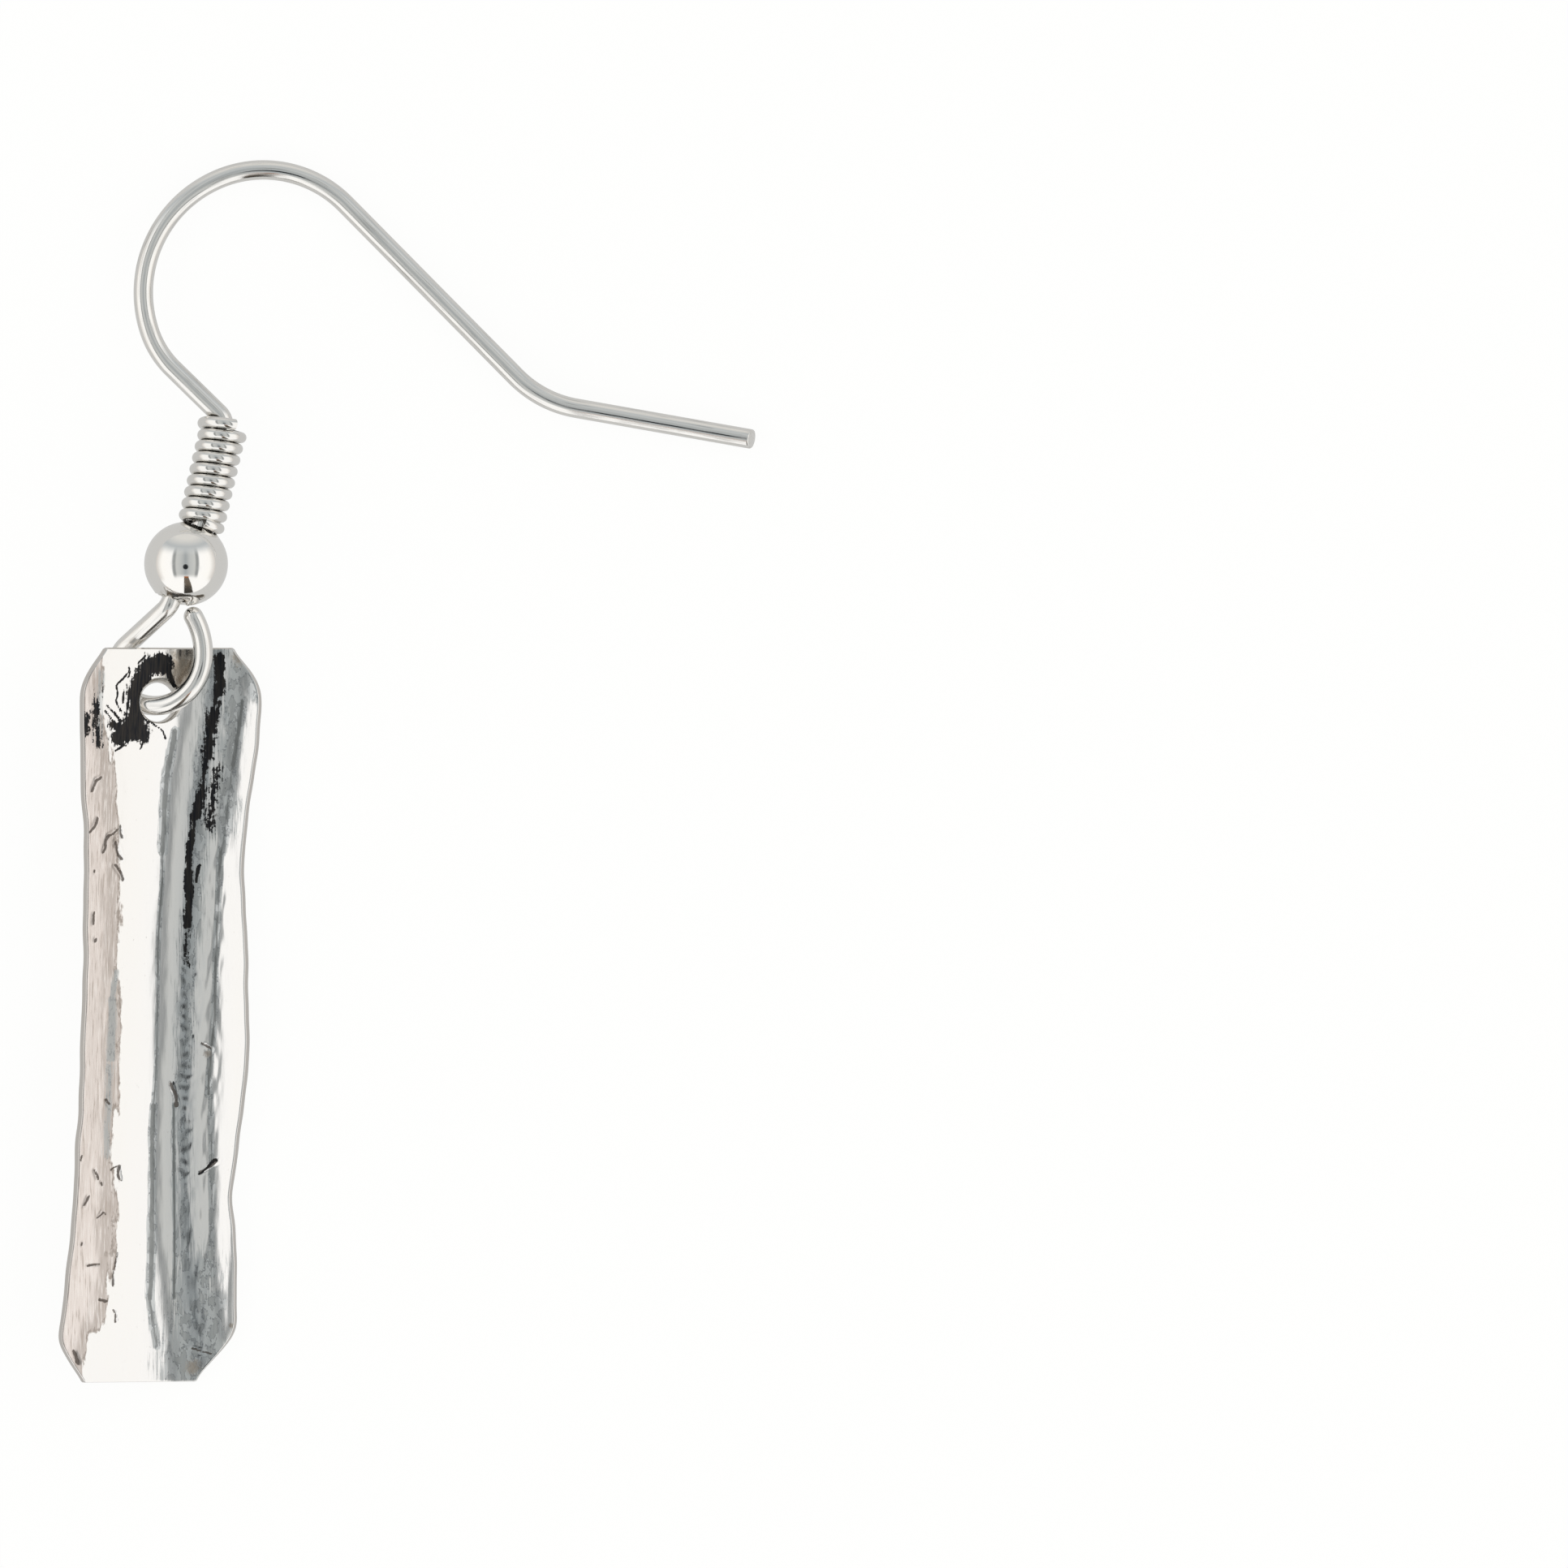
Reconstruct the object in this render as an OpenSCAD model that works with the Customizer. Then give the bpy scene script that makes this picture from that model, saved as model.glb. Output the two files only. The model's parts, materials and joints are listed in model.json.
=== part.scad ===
// Bar drop earring on a fishhook ear wire, lying flat with its hollow side up.
// One wire is bent both ways from the bead: up into the hook, and down into the loop that
// carries the bar. +Y runs from the bar towards the hook, +Z is up, the surface is z = 0,
// and the origin is under the middle of the earring.

/* [Ear wire] */
// Diameter of the wire
wire_d = 0.7; // [0.6:0.05:0.8]
// Length of the straight rise in front of the ear
rise_l = 2.3; // [1.8:0.1:3.2]
// Bend radius where the rise runs into the crown
front_r = 3.3; // [2.6:0.1:4]
// Bend radius of the crown over the ear
crown_r = 4.45; // [4:0.05:5]
// Bend radius of the shoulder behind the crown
shoulder_r = 4.1; // [3.6:0.1:4.6]
// Length of the straight slope behind the ear
slope_l = 8.7; // [7.5:0.1:10]
// Bend radius where the slope turns into the tail
kick_r = 4; // [3:0.1:5]
// Length of the straight tail
tail_l = 6.4; // [5:0.1:8]
// Radius of the tight bends beside the bead and above the coil
nip_r = 0.6; // [0.5:0.05:0.65]

/* [Bead and coil] */
// Diameter of the bead
bead_d = 3; // [2.8:0.05:3.2]
// Play of the wire in the bore of the bead
bead_play = 0.6; // [0.5:0.05:0.65]
// Diameter of the coil's own wire
coil_wire_d = 0.4; // [0.35:0.01:0.45]
// Play between the ear wire and the inside of the coil, across the diameter
coil_play = 0.18; // [0.16:0.01:0.24]
// Gap between neighbouring turns
coil_gap = 0.02; // [0.02:0.01:0.06]
// Number of turns
coil_turns = 8.8; // [6.8:0.1:9.8]
// Gap between the bead and the first turn, where they come closest
coil_seat = 0.03; // [0.02:0.01:0.1]

/* [Loop] */
// Radius of the loop that carries the bar, to the middle of the wire
loop_r = 1.5; // [1.4:0.02:1.8]

/* [Bar] */
// Length of the bar
bar_l = 26.3; // [22:0.1:32]
// Width across the widest station
bar_w = 6.55; // [6:0.05:7.2]
// Thickness of the sheet
bar_t = 0.3; // [0.25:0.01:0.34]
// Radius of the hollow along its deepest line, under the sheet
channel_r = 3.3; // [2.8:0.1:3.9]
// Play of the loop's wire in the hole of the bar
hole_play = 0.7; // [0.66:0.02:0.9]
// Distance of the hole's middle from the top edge
hole_inset = 1.95; // [1.7:0.1:2.4]
// Distance of the hole's middle from the middle line of the bar, to the left
hole_left = 0.4; // [0.1:0.05:0.55]

/* [Hidden] */

wire_r = wire_d / 2;
bead_r = bead_d / 2;
bead_bore_r = wire_r + bead_play / 2;
// Height of the bore's edge above the middle of the bead, along the bore
bore_edge = sqrt(bead_r * bead_r - bead_bore_r * bead_bore_r);

coil_r = wire_r + coil_play / 2 + coil_wire_d / 2;
coil_pitch = coil_wire_d + coil_gap;
coil_sides = 10;
coil_steps = 20;
// Angle of the first turn's start, measured from the inside of the hook
coil_start = -168;
// How far the last turn reaches past the start of the bend above it
coil_tuck = 0.19;
coil_rise = coil_turns * coil_pitch;
coil_reach = bead_r + coil_wire_d / 2 + coil_seat;

// Bend table of the wire. Each row feeds a straight length, turns the wire about itself and
// bends it: to the left of the run when positive, to the right when negative.
FEED = 0;
TURN = 1;
BEND = 2;
RADIUS = 3;
// How far from the bore's edge the wire starts its first bend, inside above and outside below
bend_lead = 0.1;
first_bend = [bore_edge - bend_lead, 0, 9, nip_r];
// The coil rests on the bead. This is the middle of the bead, seen from the first bend's end.
bent = after_row(first_bend);
bead_seen = [for (i = [0 : 2]) -[bent[0][i], bent[1][i], bent[2][i]] * place(bent)];
// Height at which the coil's wire comes close to the bead, at an angle round the ear wire
function touch_z(a) =
    let (dx = coil_r * cos(a) - bead_seen[0], dy = coil_r * sin(a) - bead_seen[1])
    bead_seen[2] + sqrt(coil_reach * coil_reach - dx * dx - dy * dy);
coil_base = max([for (a = [0 : 5 : 360]) touch_z(coil_start + a) - coil_pitch * a / 360]);

// From the middle of the bead up through the coil, over the ear and down to the tail
hook_bends = [
    first_bend,
    [coil_base + coil_rise - coil_tuck, 0, 58.6, nip_r],
    [rise_l, 0, -27, front_r],
    [0, 0, -86, crown_r],
    [0, 0, -68, shoulder_r],
    [slope_l, 0, 35.5, kick_r],
    [tail_l, 0, 0, kick_r]
];
// From the middle of the bead down, round through the hole of the bar and back to the bead
loop_bends = [
    [bore_edge + bend_lead, -129, 38.6, nip_r],
    [1.37 * loop_r, 144, 120.5, 0.8 * loop_r],
    [0, -12, 114, 1.22 * loop_r],
    [0, 30, 28, 1.83 * loop_r]
];
// The row of the loop and the angle along its bend at which the bar hangs
hang_row = 2;
hang_angle = 26;

// Sides of the meshed wire, the angle between its rings, and the rings of its rounded end
wire_sides = 16;
bend_step = 7;
tip_angles = [30, 55, 75];
// The meshed part narrows over the seam and ends as a plug inside the straight tail
seam = 0.02;
plug_l = 0.4;
plug_fit = 0.98;

// Direction of the bore across the page, and the way the lying hook dips to the surface
bore_heading = 68;
dip_heading = 59.5;

function turn_z(a) = [[cos(a), -sin(a), 0, 0], [sin(a), cos(a), 0, 0], [0, 0, 1, 0], [0, 0, 0, 1]];
function tilt_y(a) = [[cos(a), 0, sin(a), 0], [0, 1, 0, 0], [-sin(a), 0, cos(a), 0], [0, 0, 0, 1]];
function slide(x, z) = [[1, 0, 0, x], [0, 1, 0, 0], [0, 0, 1, z], [0, 0, 0, 1]];
function slide_xy(x, y) = [[1, 0, 0, x], [0, 1, 0, y], [0, 0, 1, 0], [0, 0, 0, 1]];
// A run that starts flat across the page at this heading, with its left side as local x
function heading(a) = turn_z(a) * [[0, 0, 1, 0], [1, 0, 0, 0], [0, 1, 0, 0], [0, 0, 0, 1]];
// From the start of a bend to the point at angle a along it
function along_bend(a, r) = slide(sign(a) * r * (1 - cos(a)), r * sin(abs(a))) * tilt_y(a);
function after_row(row) = slide(0, row[FEED]) * along_bend(row[BEND], row[RADIUS]);
// The frame of each row, turned and ready to feed, and the frame at the end of the run
function frames(rows, at, i = 0) =
    i == len(rows) ? [at] :
    let (here = at * turn_z(rows[i][TURN]))
    concat([here], frames(rows, here * after_row(rows[i]), i + 1));
function place(at) = [at[0][3], at[1][3], at[2][3]];
function on_bend(rows, at, i, a) =
    at[i] * slide(0, rows[i][FEED]) * along_bend(sign(rows[i][BEND]) * a, rows[i][RADIUS]);
// Points along every bend of a run, and its end
function run_points(rows, at) = concat(
    [for (i = [0 : len(rows) - 1]) for (a = [0 : 1 : abs(rows[i][BEND])]) place(on_bend(rows, at, i, a))],
    [place(at[len(rows)])]
);

// The hook leans about the bead until its far side lies on the surface
dip = [cos(dip_heading), sin(dip_heading), 0];
reach = max([for (p = run_points(hook_bends, frames(hook_bends, heading(bore_heading)))) p * dip]);
lean = asin((bead_r - wire_r) / reach);
leaning = turn_z(dip_heading) * tilt_y(lean) * turn_z(-dip_heading);
hook_at = frames(hook_bends, leaning * heading(bore_heading));
loop_at = frames(loop_bends, leaning * heading(bore_heading + 180));
hook_points = run_points(hook_bends, hook_at);
loop_points = run_points(loop_bends, loop_at);

// Outline of the bar: how far down its length a station lies, in bar lengths, and how far the
// left and right edges stand from the middle line there, in bar widths
ALONG = 0;
LEFT = 1;
RIGHT = 2;
edges = [
    [0, 0.345, 0.34],
    [0.013, 0.395, 0.385],
    [0.035, 0.445, 0.46],
    [0.058, 0.474, 0.515],
    [0.08, 0.476, 0.524],
    [0.15, 0.46, 0.507],
    [0.23, 0.435, 0.468],
    [0.28, 0.422, 0.457],
    [0.35, 0.408, 0.482],
    [0.43, 0.398, 0.504],
    [0.52, 0.393, 0.525],
    [0.61, 0.398, 0.519],
    [0.7, 0.405, 0.488],
    [0.745, 0.407, 0.464],
    [0.79, 0.409, 0.49],
    [0.88, 0.427, 0.516],
    [0.922, 0.446, 0.532],
    [0.943, 0.456, 0.495],
    [0.966, 0.408, 0.415],
    [0.988, 0.346, 0.325],
    [1, 0.29, 0.29]
];
// Form of the hollow: the deepest line from the middle line, in bar widths, and the slope that
// each side runs out to
DEEPEST = 1;
LEFT_SLOPE = 2;
RIGHT_SLOPE = 3;
hollow = [
    [0, 0.28, 0.85, 0.6],
    [0.08, 0.27, 0.85, 0.7],
    [0.19, 0.21, 1.05, 0.8],
    [0.34, 0.172, 1.2, 0.8],
    [0.5, 0.177, 1.2, 0.8],
    [0.67, 0.19, 1.15, 0.75],
    [0.78, 0.21, 1, 0.7],
    [0.89, 0.28, 0.7, 0.7],
    [1, 0.36, 0.55, 0.6]
];
// Angle at which the middle line drifts to the left on its way down
drift = 2.3;
// Strips across the sheet, and steps between two stations of the outline
across = 20;
between = 2;

function edge(s, column) = lookup(s, [for (row = edges) [row[ALONG], row[column]]]);
function form(s, column) = lookup(s, [for (row = hollow) [row[ALONG], row[column]]]);
function middle_x(s) = -s * bar_l * tan(drift);
function deepest_x(s) = middle_x(s) + form(s, DEEPEST) * bar_w;
function side_slope(s, d) = form(s, d < 0 ? LEFT_SLOPE : RIGHT_SLOPE);
// Height of the underside at a distance d from the deepest line, and its slope there
function root(d, k) = sqrt(pow(k * k * channel_r, 2) + pow(k * d, 2));
function under_z(s, x) =
    let (d = x - deepest_x(s), k = side_slope(s, d))
    root(d, k) - k * k * channel_r;
function under_slope(s, x) =
    let (d = x - deepest_x(s), k = side_slope(s, d))
    k * k * d / root(d, k);
// A point of the sheet, lifted off the underside along its normal
function sheet_point(s, x, lift) =
    let (tilt = atan(under_slope(s, x)))
    [x - lift * sin(tilt), -s * bar_l, under_z(s, x) + lift * cos(tilt)];
function left_x(s) = middle_x(s) - edge(s, LEFT) * bar_w;
function right_x(s) = middle_x(s) + edge(s, RIGHT) * bar_w;
function column_x(s, i) = left_x(s) + (right_x(s) - left_x(s)) * i / across;

stations = concat(
    [for (i = [0 : len(edges) - 2]) for (k = [0 : between - 1])
        edges[i][ALONG] + (edges[i + 1][ALONG] - edges[i][ALONG]) * k / between],
    [1]
);

// The bar hangs with the middle of its hole near the middle of the loop's wire
hole_r = wire_r + hole_play / 2;
hole_s = hole_inset / bar_l;
hole_x = middle_x(hole_s) - hole_left;
hole_mid = sheet_point(hole_s, hole_x, bar_t / 2);
hole_tilt = -atan(under_slope(hole_s, hole_x));
// How far the wire lies from the hole's middle: to the right, towards the foot of the bar, up
wire_right = 0.05;
wire_low = 0.12;
wire_lift = 0.06;
wire_off = [wire_right, -wire_low, wire_lift];
hang = place(on_bend(loop_bends, loop_at, hang_row, hang_angle));
bar_at = hang - wire_off - hole_mid;

// Box of the whole earring, measured from the middle of the bead
wire_points = concat(hook_points, loop_points);
low_z = min(concat([-bead_r, bar_at[2]], [for (p = wire_points) p[2] - wire_r]));
min_x = bar_at[0] + min([for (s = stations) left_x(s)]);
tail_end = hook_at[len(hook_bends)];
max_x = tail_end[0][3] + wire_r * sqrt(1 - pow(tail_end[0][2], 2));
min_y = bar_at[1] - bar_l;
max_y = max([for (p = hook_points) p[1]]) + wire_r;
to_origin = [-(min_x + max_x) / 2, -(min_y + max_y) / 2, -low_z];

// Rings along the bends of a run, each with its frame, the turns made so far and its radius
function spin_at(rows, i) = i < 0 ? 0 : rows[i][TURN] + spin_at(rows, i - 1);
function run_rings(rows, at) = [
    for (i = [0 : len(rows) - 1])
        let (steps = ceil(abs(rows[i][BEND]) / bend_step), spin = spin_at(rows, i))
        for (k = [rows[i][FEED] > 0 ? 0 : 1 : steps])
            [on_bend(rows, at, i, abs(rows[i][BEND]) * k / steps), spin, wire_r]
];
function ring_points(ring, side, first) = [
    for (k = [0 : wire_sides - 1])
        let (phi = first + side * 360 * k / wire_sides - ring[1])
        place(ring[0] * slide_xy(ring[2] * cos(phi), ring[2] * sin(phi)))
];

// The whole ear wire: a flat cut tail at one end and a rounded loop end at the other. The bent
// part is one skin over its rings, and ends as a plug inside the straight tail.
module ear_hook() {
    tail = len(hook_bends) - 1;
    tip = loop_at[len(loop_bends)];
    tip_spin = spin_at(loop_bends, len(loop_bends) - 1);
    round_tip = [
        for (a = tip_angles) [tip * slide(0, wire_r * sin(a)), tip_spin, wire_r * cos(a)]
    ];
    loop_rings = concat(run_rings(loop_bends, loop_at), round_tip);
    bent_rows = [for (i = [0 : tail - 1]) hook_bends[i]];
    bent_rings = run_rings(bent_rows, hook_at);
    plug = [
        for (d = [seam, plug_l]) [hook_at[tail] * slide(0, d), 0, plug_fit * wire_r]
    ];
    hook_rings = concat(bent_rings, plug);
    lows = len(loop_rings);
    points = concat(
        [for (i = [lows - 1 : -1 : 0]) each ring_points(loop_rings[i], -1, 180)],
        [for (ring = hook_rings) each ring_points(ring, 1, 0)]
    );
    last = lows + len(hook_rings) - 1;
    walls = [
        for (i = [0 : last - 1]) for (k = [0 : wire_sides - 1])
            let (a = i * wire_sides + k, b = i * wire_sides + (k + 1) % wire_sides)
            [a, a + wire_sides, b + wire_sides, b]
    ];
    caps = [
        [for (k = [0 : wire_sides - 1]) k],
        [for (k = [wire_sides - 1 : -1 : 0]) last * wire_sides + k]
    ];
    color("gainsboro")
        translate(to_origin) {
            polyhedron(points, concat(walls, caps));
            multmatrix(hook_at[tail])
                translate([0, 0, 2 * seam])
                    cylinder(r = wire_r, h = tail_l - 2 * seam, $fn = 48);
        }
}

function coil_point(turns, a) =
    let (phi = coil_start + 360 * turns, out = coil_r + coil_wire_d / 2 * cos(a))
    [out * cos(phi), out * sin(phi), coil_base + coil_pitch * turns + coil_wire_d / 2 * sin(a)];

// Close-wound spring, swept along a helix round the straight wire above the bead
module coil() {
    rings = round(coil_turns * coil_steps);
    points = [
        for (i = [0 : rings]) for (k = [0 : coil_sides - 1])
            coil_point(coil_turns * i / rings, 360 * k / coil_sides)
    ];
    walls = [
        for (i = [0 : rings - 1]) for (k = [0 : coil_sides - 1])
            let (a = i * coil_sides + k, b = i * coil_sides + (k + 1) % coil_sides)
            [a, b, b + coil_sides, a + coil_sides]
    ];
    caps = [
        [for (k = [coil_sides - 1 : -1 : 0]) k],
        [for (k = [0 : coil_sides - 1]) rings * coil_sides + k]
    ];
    color("lightgrey")
        translate(to_origin)
            multmatrix(hook_at[1])
                polyhedron(points, concat(walls, caps));
}

// Round bead with a bore that the wire passes through with play
module bead() {
    color("whitesmoke")
        translate(to_origin)
            multmatrix(hook_at[0])
                difference() {
                    sphere(r = bead_r, $fn = 96);
                    translate([0, 0, -bead_d])
                        cylinder(r = bead_bore_r, h = 2 * bead_d, $fn = 48);
                }
}

// The strip itself: its underside and its face, station by station, without the hole
module bar_sheet() {
    columns = across + 1;
    ring = 2 * columns;
    last = len(stations) - 1;
    points = [
        for (s = stations) for (i = [0 : ring - 1])
            i < columns
                ? sheet_point(s, column_x(s, i), 0)
                : sheet_point(s, column_x(s, ring - 1 - i), bar_t)
    ];
    skin = [
        for (j = [0 : last - 1]) for (i = [0 : ring - 1])
            let (a = j * ring + i, b = j * ring + (i + 1) % ring)
            each [[a, a + ring, b], [b, a + ring, b + ring]]
    ];
    ends = [
        for (i = [0 : across - 1])
            let (a = i, b = i + 1, c = ring - 2 - i, d = ring - 1 - i, e = last * ring)
            each [[a, b, c, d], [e + a, e + d, e + c, e + b]]
    ];
    polyhedron(points, concat(skin, ends));
}

module bar() {
    color("silver")
        translate(to_origin + bar_at)
            difference() {
                bar_sheet();
                translate(hole_mid)
                    rotate([0, hole_tilt, 0])
                        translate([0, 0, -2 * bar_t])
                            cylinder(r = hole_r, h = 4 * bar_t, $fn = 48);
            }
}

ear_hook();
coil();
bead();
bar();
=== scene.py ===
# %% [markdown]
# A bar drop earring, lying on a pale surface and seen from straight above. The real one is
# four pieces of silver: an ear wire that is bent both ways from its bead, a close-wound coil,
# the round bead, and a hammered, channel-shaped bar that hangs on the loop below the bead.
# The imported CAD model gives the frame. Each of its four solids is rebuilt here as a finer
# mesh in the same place, because polished metal shows every flat facet of a coarse one.

# %% Load the frame
import json
import math

import bpy
import numpy as np
from mathutils import Matrix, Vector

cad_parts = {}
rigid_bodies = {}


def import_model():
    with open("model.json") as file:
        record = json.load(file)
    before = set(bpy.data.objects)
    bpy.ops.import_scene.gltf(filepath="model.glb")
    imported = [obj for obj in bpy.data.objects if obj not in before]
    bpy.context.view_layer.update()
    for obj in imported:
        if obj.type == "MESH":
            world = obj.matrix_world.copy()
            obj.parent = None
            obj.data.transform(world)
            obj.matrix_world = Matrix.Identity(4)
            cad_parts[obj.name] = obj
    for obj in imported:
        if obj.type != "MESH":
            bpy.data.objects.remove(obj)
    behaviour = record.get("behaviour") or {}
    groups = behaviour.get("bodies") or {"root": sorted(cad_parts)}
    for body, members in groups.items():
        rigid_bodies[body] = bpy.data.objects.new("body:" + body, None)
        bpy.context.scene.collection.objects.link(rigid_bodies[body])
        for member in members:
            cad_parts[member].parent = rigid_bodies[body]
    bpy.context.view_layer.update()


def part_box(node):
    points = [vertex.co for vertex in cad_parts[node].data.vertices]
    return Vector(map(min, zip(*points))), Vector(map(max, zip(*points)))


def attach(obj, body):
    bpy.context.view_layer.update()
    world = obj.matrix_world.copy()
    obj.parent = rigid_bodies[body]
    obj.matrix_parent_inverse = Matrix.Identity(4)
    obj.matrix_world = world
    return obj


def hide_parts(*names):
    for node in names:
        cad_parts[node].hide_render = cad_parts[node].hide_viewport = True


for leftover in list(bpy.data.objects):
    bpy.data.objects.remove(leftover)
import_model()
MM = 0.001

# %% [markdown]
# The photograph looks straight down, and the earring lies left of the middle of its frame. A
# long lens from high up keeps the tall left side of the bar from leaning outwards. The place
# of the frame's middle is a size read off the photograph: how far it lies from the origin.

# %% Camera
PHOTO_PX = 1932
MM_PER_PX = 0.0291
FRAME_W = PHOTO_PX * MM_PER_PX
FRAME_MID = (13.55, -0.47)
CAMERA_H = 900
SENSOR_W = 36

camera_data = bpy.data.cameras.new("straight_down")
camera_data.sensor_width = SENSOR_W
camera_data.lens = SENSOR_W * CAMERA_H / FRAME_W
camera_data.clip_start = 0.01
camera_data.clip_end = 20
camera = bpy.data.objects.new("straight_down", camera_data)
camera.location = (FRAME_MID[0] * MM, FRAME_MID[1] * MM, CAMERA_H * MM)
bpy.context.scene.collection.objects.link(camera)
bpy.context.scene.camera = camera
bpy.context.scene.view_settings.view_transform = "Standard"
print("camera:", round(camera_data.lens), "mm lens,", CAMERA_H, "mm above the table")

# %% [markdown]
# Two small helpers serve every node tree below. One turns a colour as a painter writes it
# into the linear light that shaders work in. The other adds a node with its settings and
# links, so that each tree reads as a list of steps.

# %% Helpers for colours and nodes
def linear(hex_code):
    parts = [int(hex_code[i:i + 2], 16) / 255 for i in (0, 2, 4)]
    return [p / 12.92 if p <= 0.04045 else ((p + 0.055) / 1.055) ** 2.4 for p in parts] + [1.0]


def add(tree, kind, inputs=None, **settings):
    node = tree.nodes.new(kind)
    for name, value in settings.items():
        setattr(node, name, value)
    for key, value in (inputs or {}).items():
        if isinstance(value, bpy.types.NodeSocket):
            tree.links.new(value, node.inputs[key])
        else:
            node.inputs[key].default_value = value
    return node


print("white is", linear("FFFFFF"), "and the silver's grey is", [round(v, 2) for v in linear("E7E5E0")])

# %% [markdown]
# Much of a finish is sums: how far, how dark, how much of both. A sum is written below as a
# formula of nested brackets, which one function turns into nodes. EASE in a formula is a
# soft step between two values. Tones then go on like coats of paint, each over the last one,
# with a mask that says where and how strongly.

# %% Helpers for sums and coats of tone
def formula(tree, written):
    """Turns brackets such as ("ADD", a, ("EASE", b, 0.2, 0.4)) into nodes, and gives the last output."""
    if not isinstance(written, tuple):
        return written
    values = {i: formula(tree, part) for i, part in enumerate(written[1:])}
    if written[0] == "EASE":
        return add(tree, "ShaderNodeMapRange", values, interpolation_type="SMOOTHSTEP").outputs[0]
    return add(tree, "ShaderNodeMath", values, operation=written[0]).outputs[0]


def painted(tree, tone, coats):
    """Lays coats over a tone. Each coat is a mask and a tone, as a hex code or an output."""
    for mask, coat in coats:
        over = linear(coat) if isinstance(coat, str) else coat
        inputs = {0: formula(tree, mask), 6: tone, 7: over}
        tone = add(tree, "ShaderNodeMix", inputs, data_type="RGBA").outputs[2]
    return tone


trial = bpy.data.node_groups.new("trial", "ShaderNodeTree")
formula(trial, ("ADD", 1.0, ("EASE", 0.3, 0.2, 0.4)))
print("a trial formula became", len(trial.nodes), "nodes")
bpy.data.node_groups.remove(trial)

# %% [markdown]
# Polished silver looks like whatever stands around it, so the light is half of the finish.
# The bead in the photograph mirrors the room: a soft grey ceiling with a small dark lens in
# it, a wide white light on each side, and something dark and warm on the near side. Light
# boxes as objects would stand in the way of other views, so the sky carries them instead:
# its colour follows the angle from straight up, and each zone is a stretch of that angle.

# %% Tones of the room
LIGHT = 1.17
# Columns: degrees from straight up, towards the left and the right alike, tone
ZONES = [
    (0, "A2A7AA"),
    (4, "A9AEB0"),
    (9, "B7BABB"),
    (16, "C0C3C3"),
    (26, "C7C9C8"),
    (31, "8F9293"),
    (36, "A0A3A4"),
    (40, "FFFFFF"),
    (70, "FFFEFC"),
    (90, "D0CCC8"),
    (98, "D2CECA"),
]
# Columns: how far the direction points towards the top of the picture, tone
WALL = [
    (0.5, "CBCFD1"),
    (0.74, "B6BBBE"),
    (0.95, "DAD9D6"),
]
# Columns: share of the way from where the near side begins to its end, tone
NEAR_ZONES = [
    (0.0, "FFFFFF"),
    (0.04, "9A5B32"),
    (0.13, "A5622E"),
    (0.2, "6D635A"),
    (0.8, "665D52"),
    (1.0, "3D3A36"),
]
print("sky with", len(ZONES), "zones from straight up to the table")

# %% [markdown]
# The zones give way to a wall towards the top of the picture and to a white light on the near
# side. In front of that light stands the dark thing, which widens downwards, and the lens is
# a dark disc a little off the zenith. All of it is worked out from the direction alone, so
# the bead, the wire and the bar each mirror their own part of the same room.

# %% Studio sky
WALL_FROM = (0.36, 0.74)
NEAR_LIGHT_FROM = (-0.46, -0.68)
NEAR_FROM = (-0.5, -1.0)
DARK_FROM = (-0.55, -0.6)
DARK_LEFT = -0.07
DARK_WIDENS = (-0.55, -0.95, 0.13, 0.24)
LENS_OFF = 8.8
LENS_HALF = 7.2
LENS_SOFT = 0.6
LENS_TONE = "202326"


def studio_sky():
    world = bpy.data.worlds.new("studio_sky")
    bpy.context.scene.world = world
    world.use_nodes = True
    tree = world.node_tree
    tree.nodes.clear()
    direction = add(tree, "ShaderNodeTexCoord").outputs["Generated"]
    x, y, z = add(tree, "ShaderNodeSeparateXYZ", {0: direction}).outputs
    half_turns = ("DIVIDE", ("ARCTAN2", ("ABSOLUTE", x), z), math.pi)
    zone_stops = [(degrees / 180, tone) for degrees, tone in ZONES]
    tones = []
    for value, stops in ((half_turns, zone_stops), (y, WALL), (("EASE", y, *NEAR_FROM), NEAR_ZONES)):
        ramp = add(tree, "ShaderNodeValToRGB", {0: formula(tree, value)})
        points = ramp.color_ramp.elements
        while len(points) < len(stops):
            points.new(0.5)
        for point, (place, tone) in zip(points, stops):
            point.position = place
            point.color = linear(tone)
        tones.append(ramp.outputs[0])
    inside = ("MULTIPLY", ("GREATER_THAN", x, DARK_LEFT), ("LESS_THAN", x, ("EASE", y, *DARK_WIDENS)))
    off = math.radians(LENS_OFF)
    lens_way = (0, -math.sin(off), math.cos(off))
    toward = add(tree, "ShaderNodeVectorMath", {0: direction, 1: lens_way}, operation="DOT_PRODUCT")
    lens_edge = [math.cos(math.radians(LENS_HALF + soft)) for soft in (LENS_SOFT, -LENS_SOFT)]
    coats = [
        (("EASE", y, *WALL_FROM), tones[1]),
        (("EASE", y, *NEAR_LIGHT_FROM), "FFFFFF"),
        (("MULTIPLY", ("EASE", y, *DARK_FROM), inside), tones[2]),
        (("EASE", toward.outputs["Value"], *lens_edge), LENS_TONE),
    ]
    sky = painted(tree, tones[0], coats)
    background = add(tree, "ShaderNodeBackground", {"Color": sky, "Strength": LIGHT})
    add(tree, "ShaderNodeOutputWorld", {"Surface": background.outputs[0]})
    print("sky tree with", len(tree.nodes), "nodes")


studio_sky()

# %% [markdown]
# The surface under the earring is a plain white sheet that glows, like the diffuser of a
# photographer's light table. The photograph is exposed so that the sheet bleaches to white,
# while silver still mirrors it as a pale grey. The sheet therefore glows more where it is
# seen directly than where it is mirrored, which stands in for the bleaching of the film.

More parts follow.
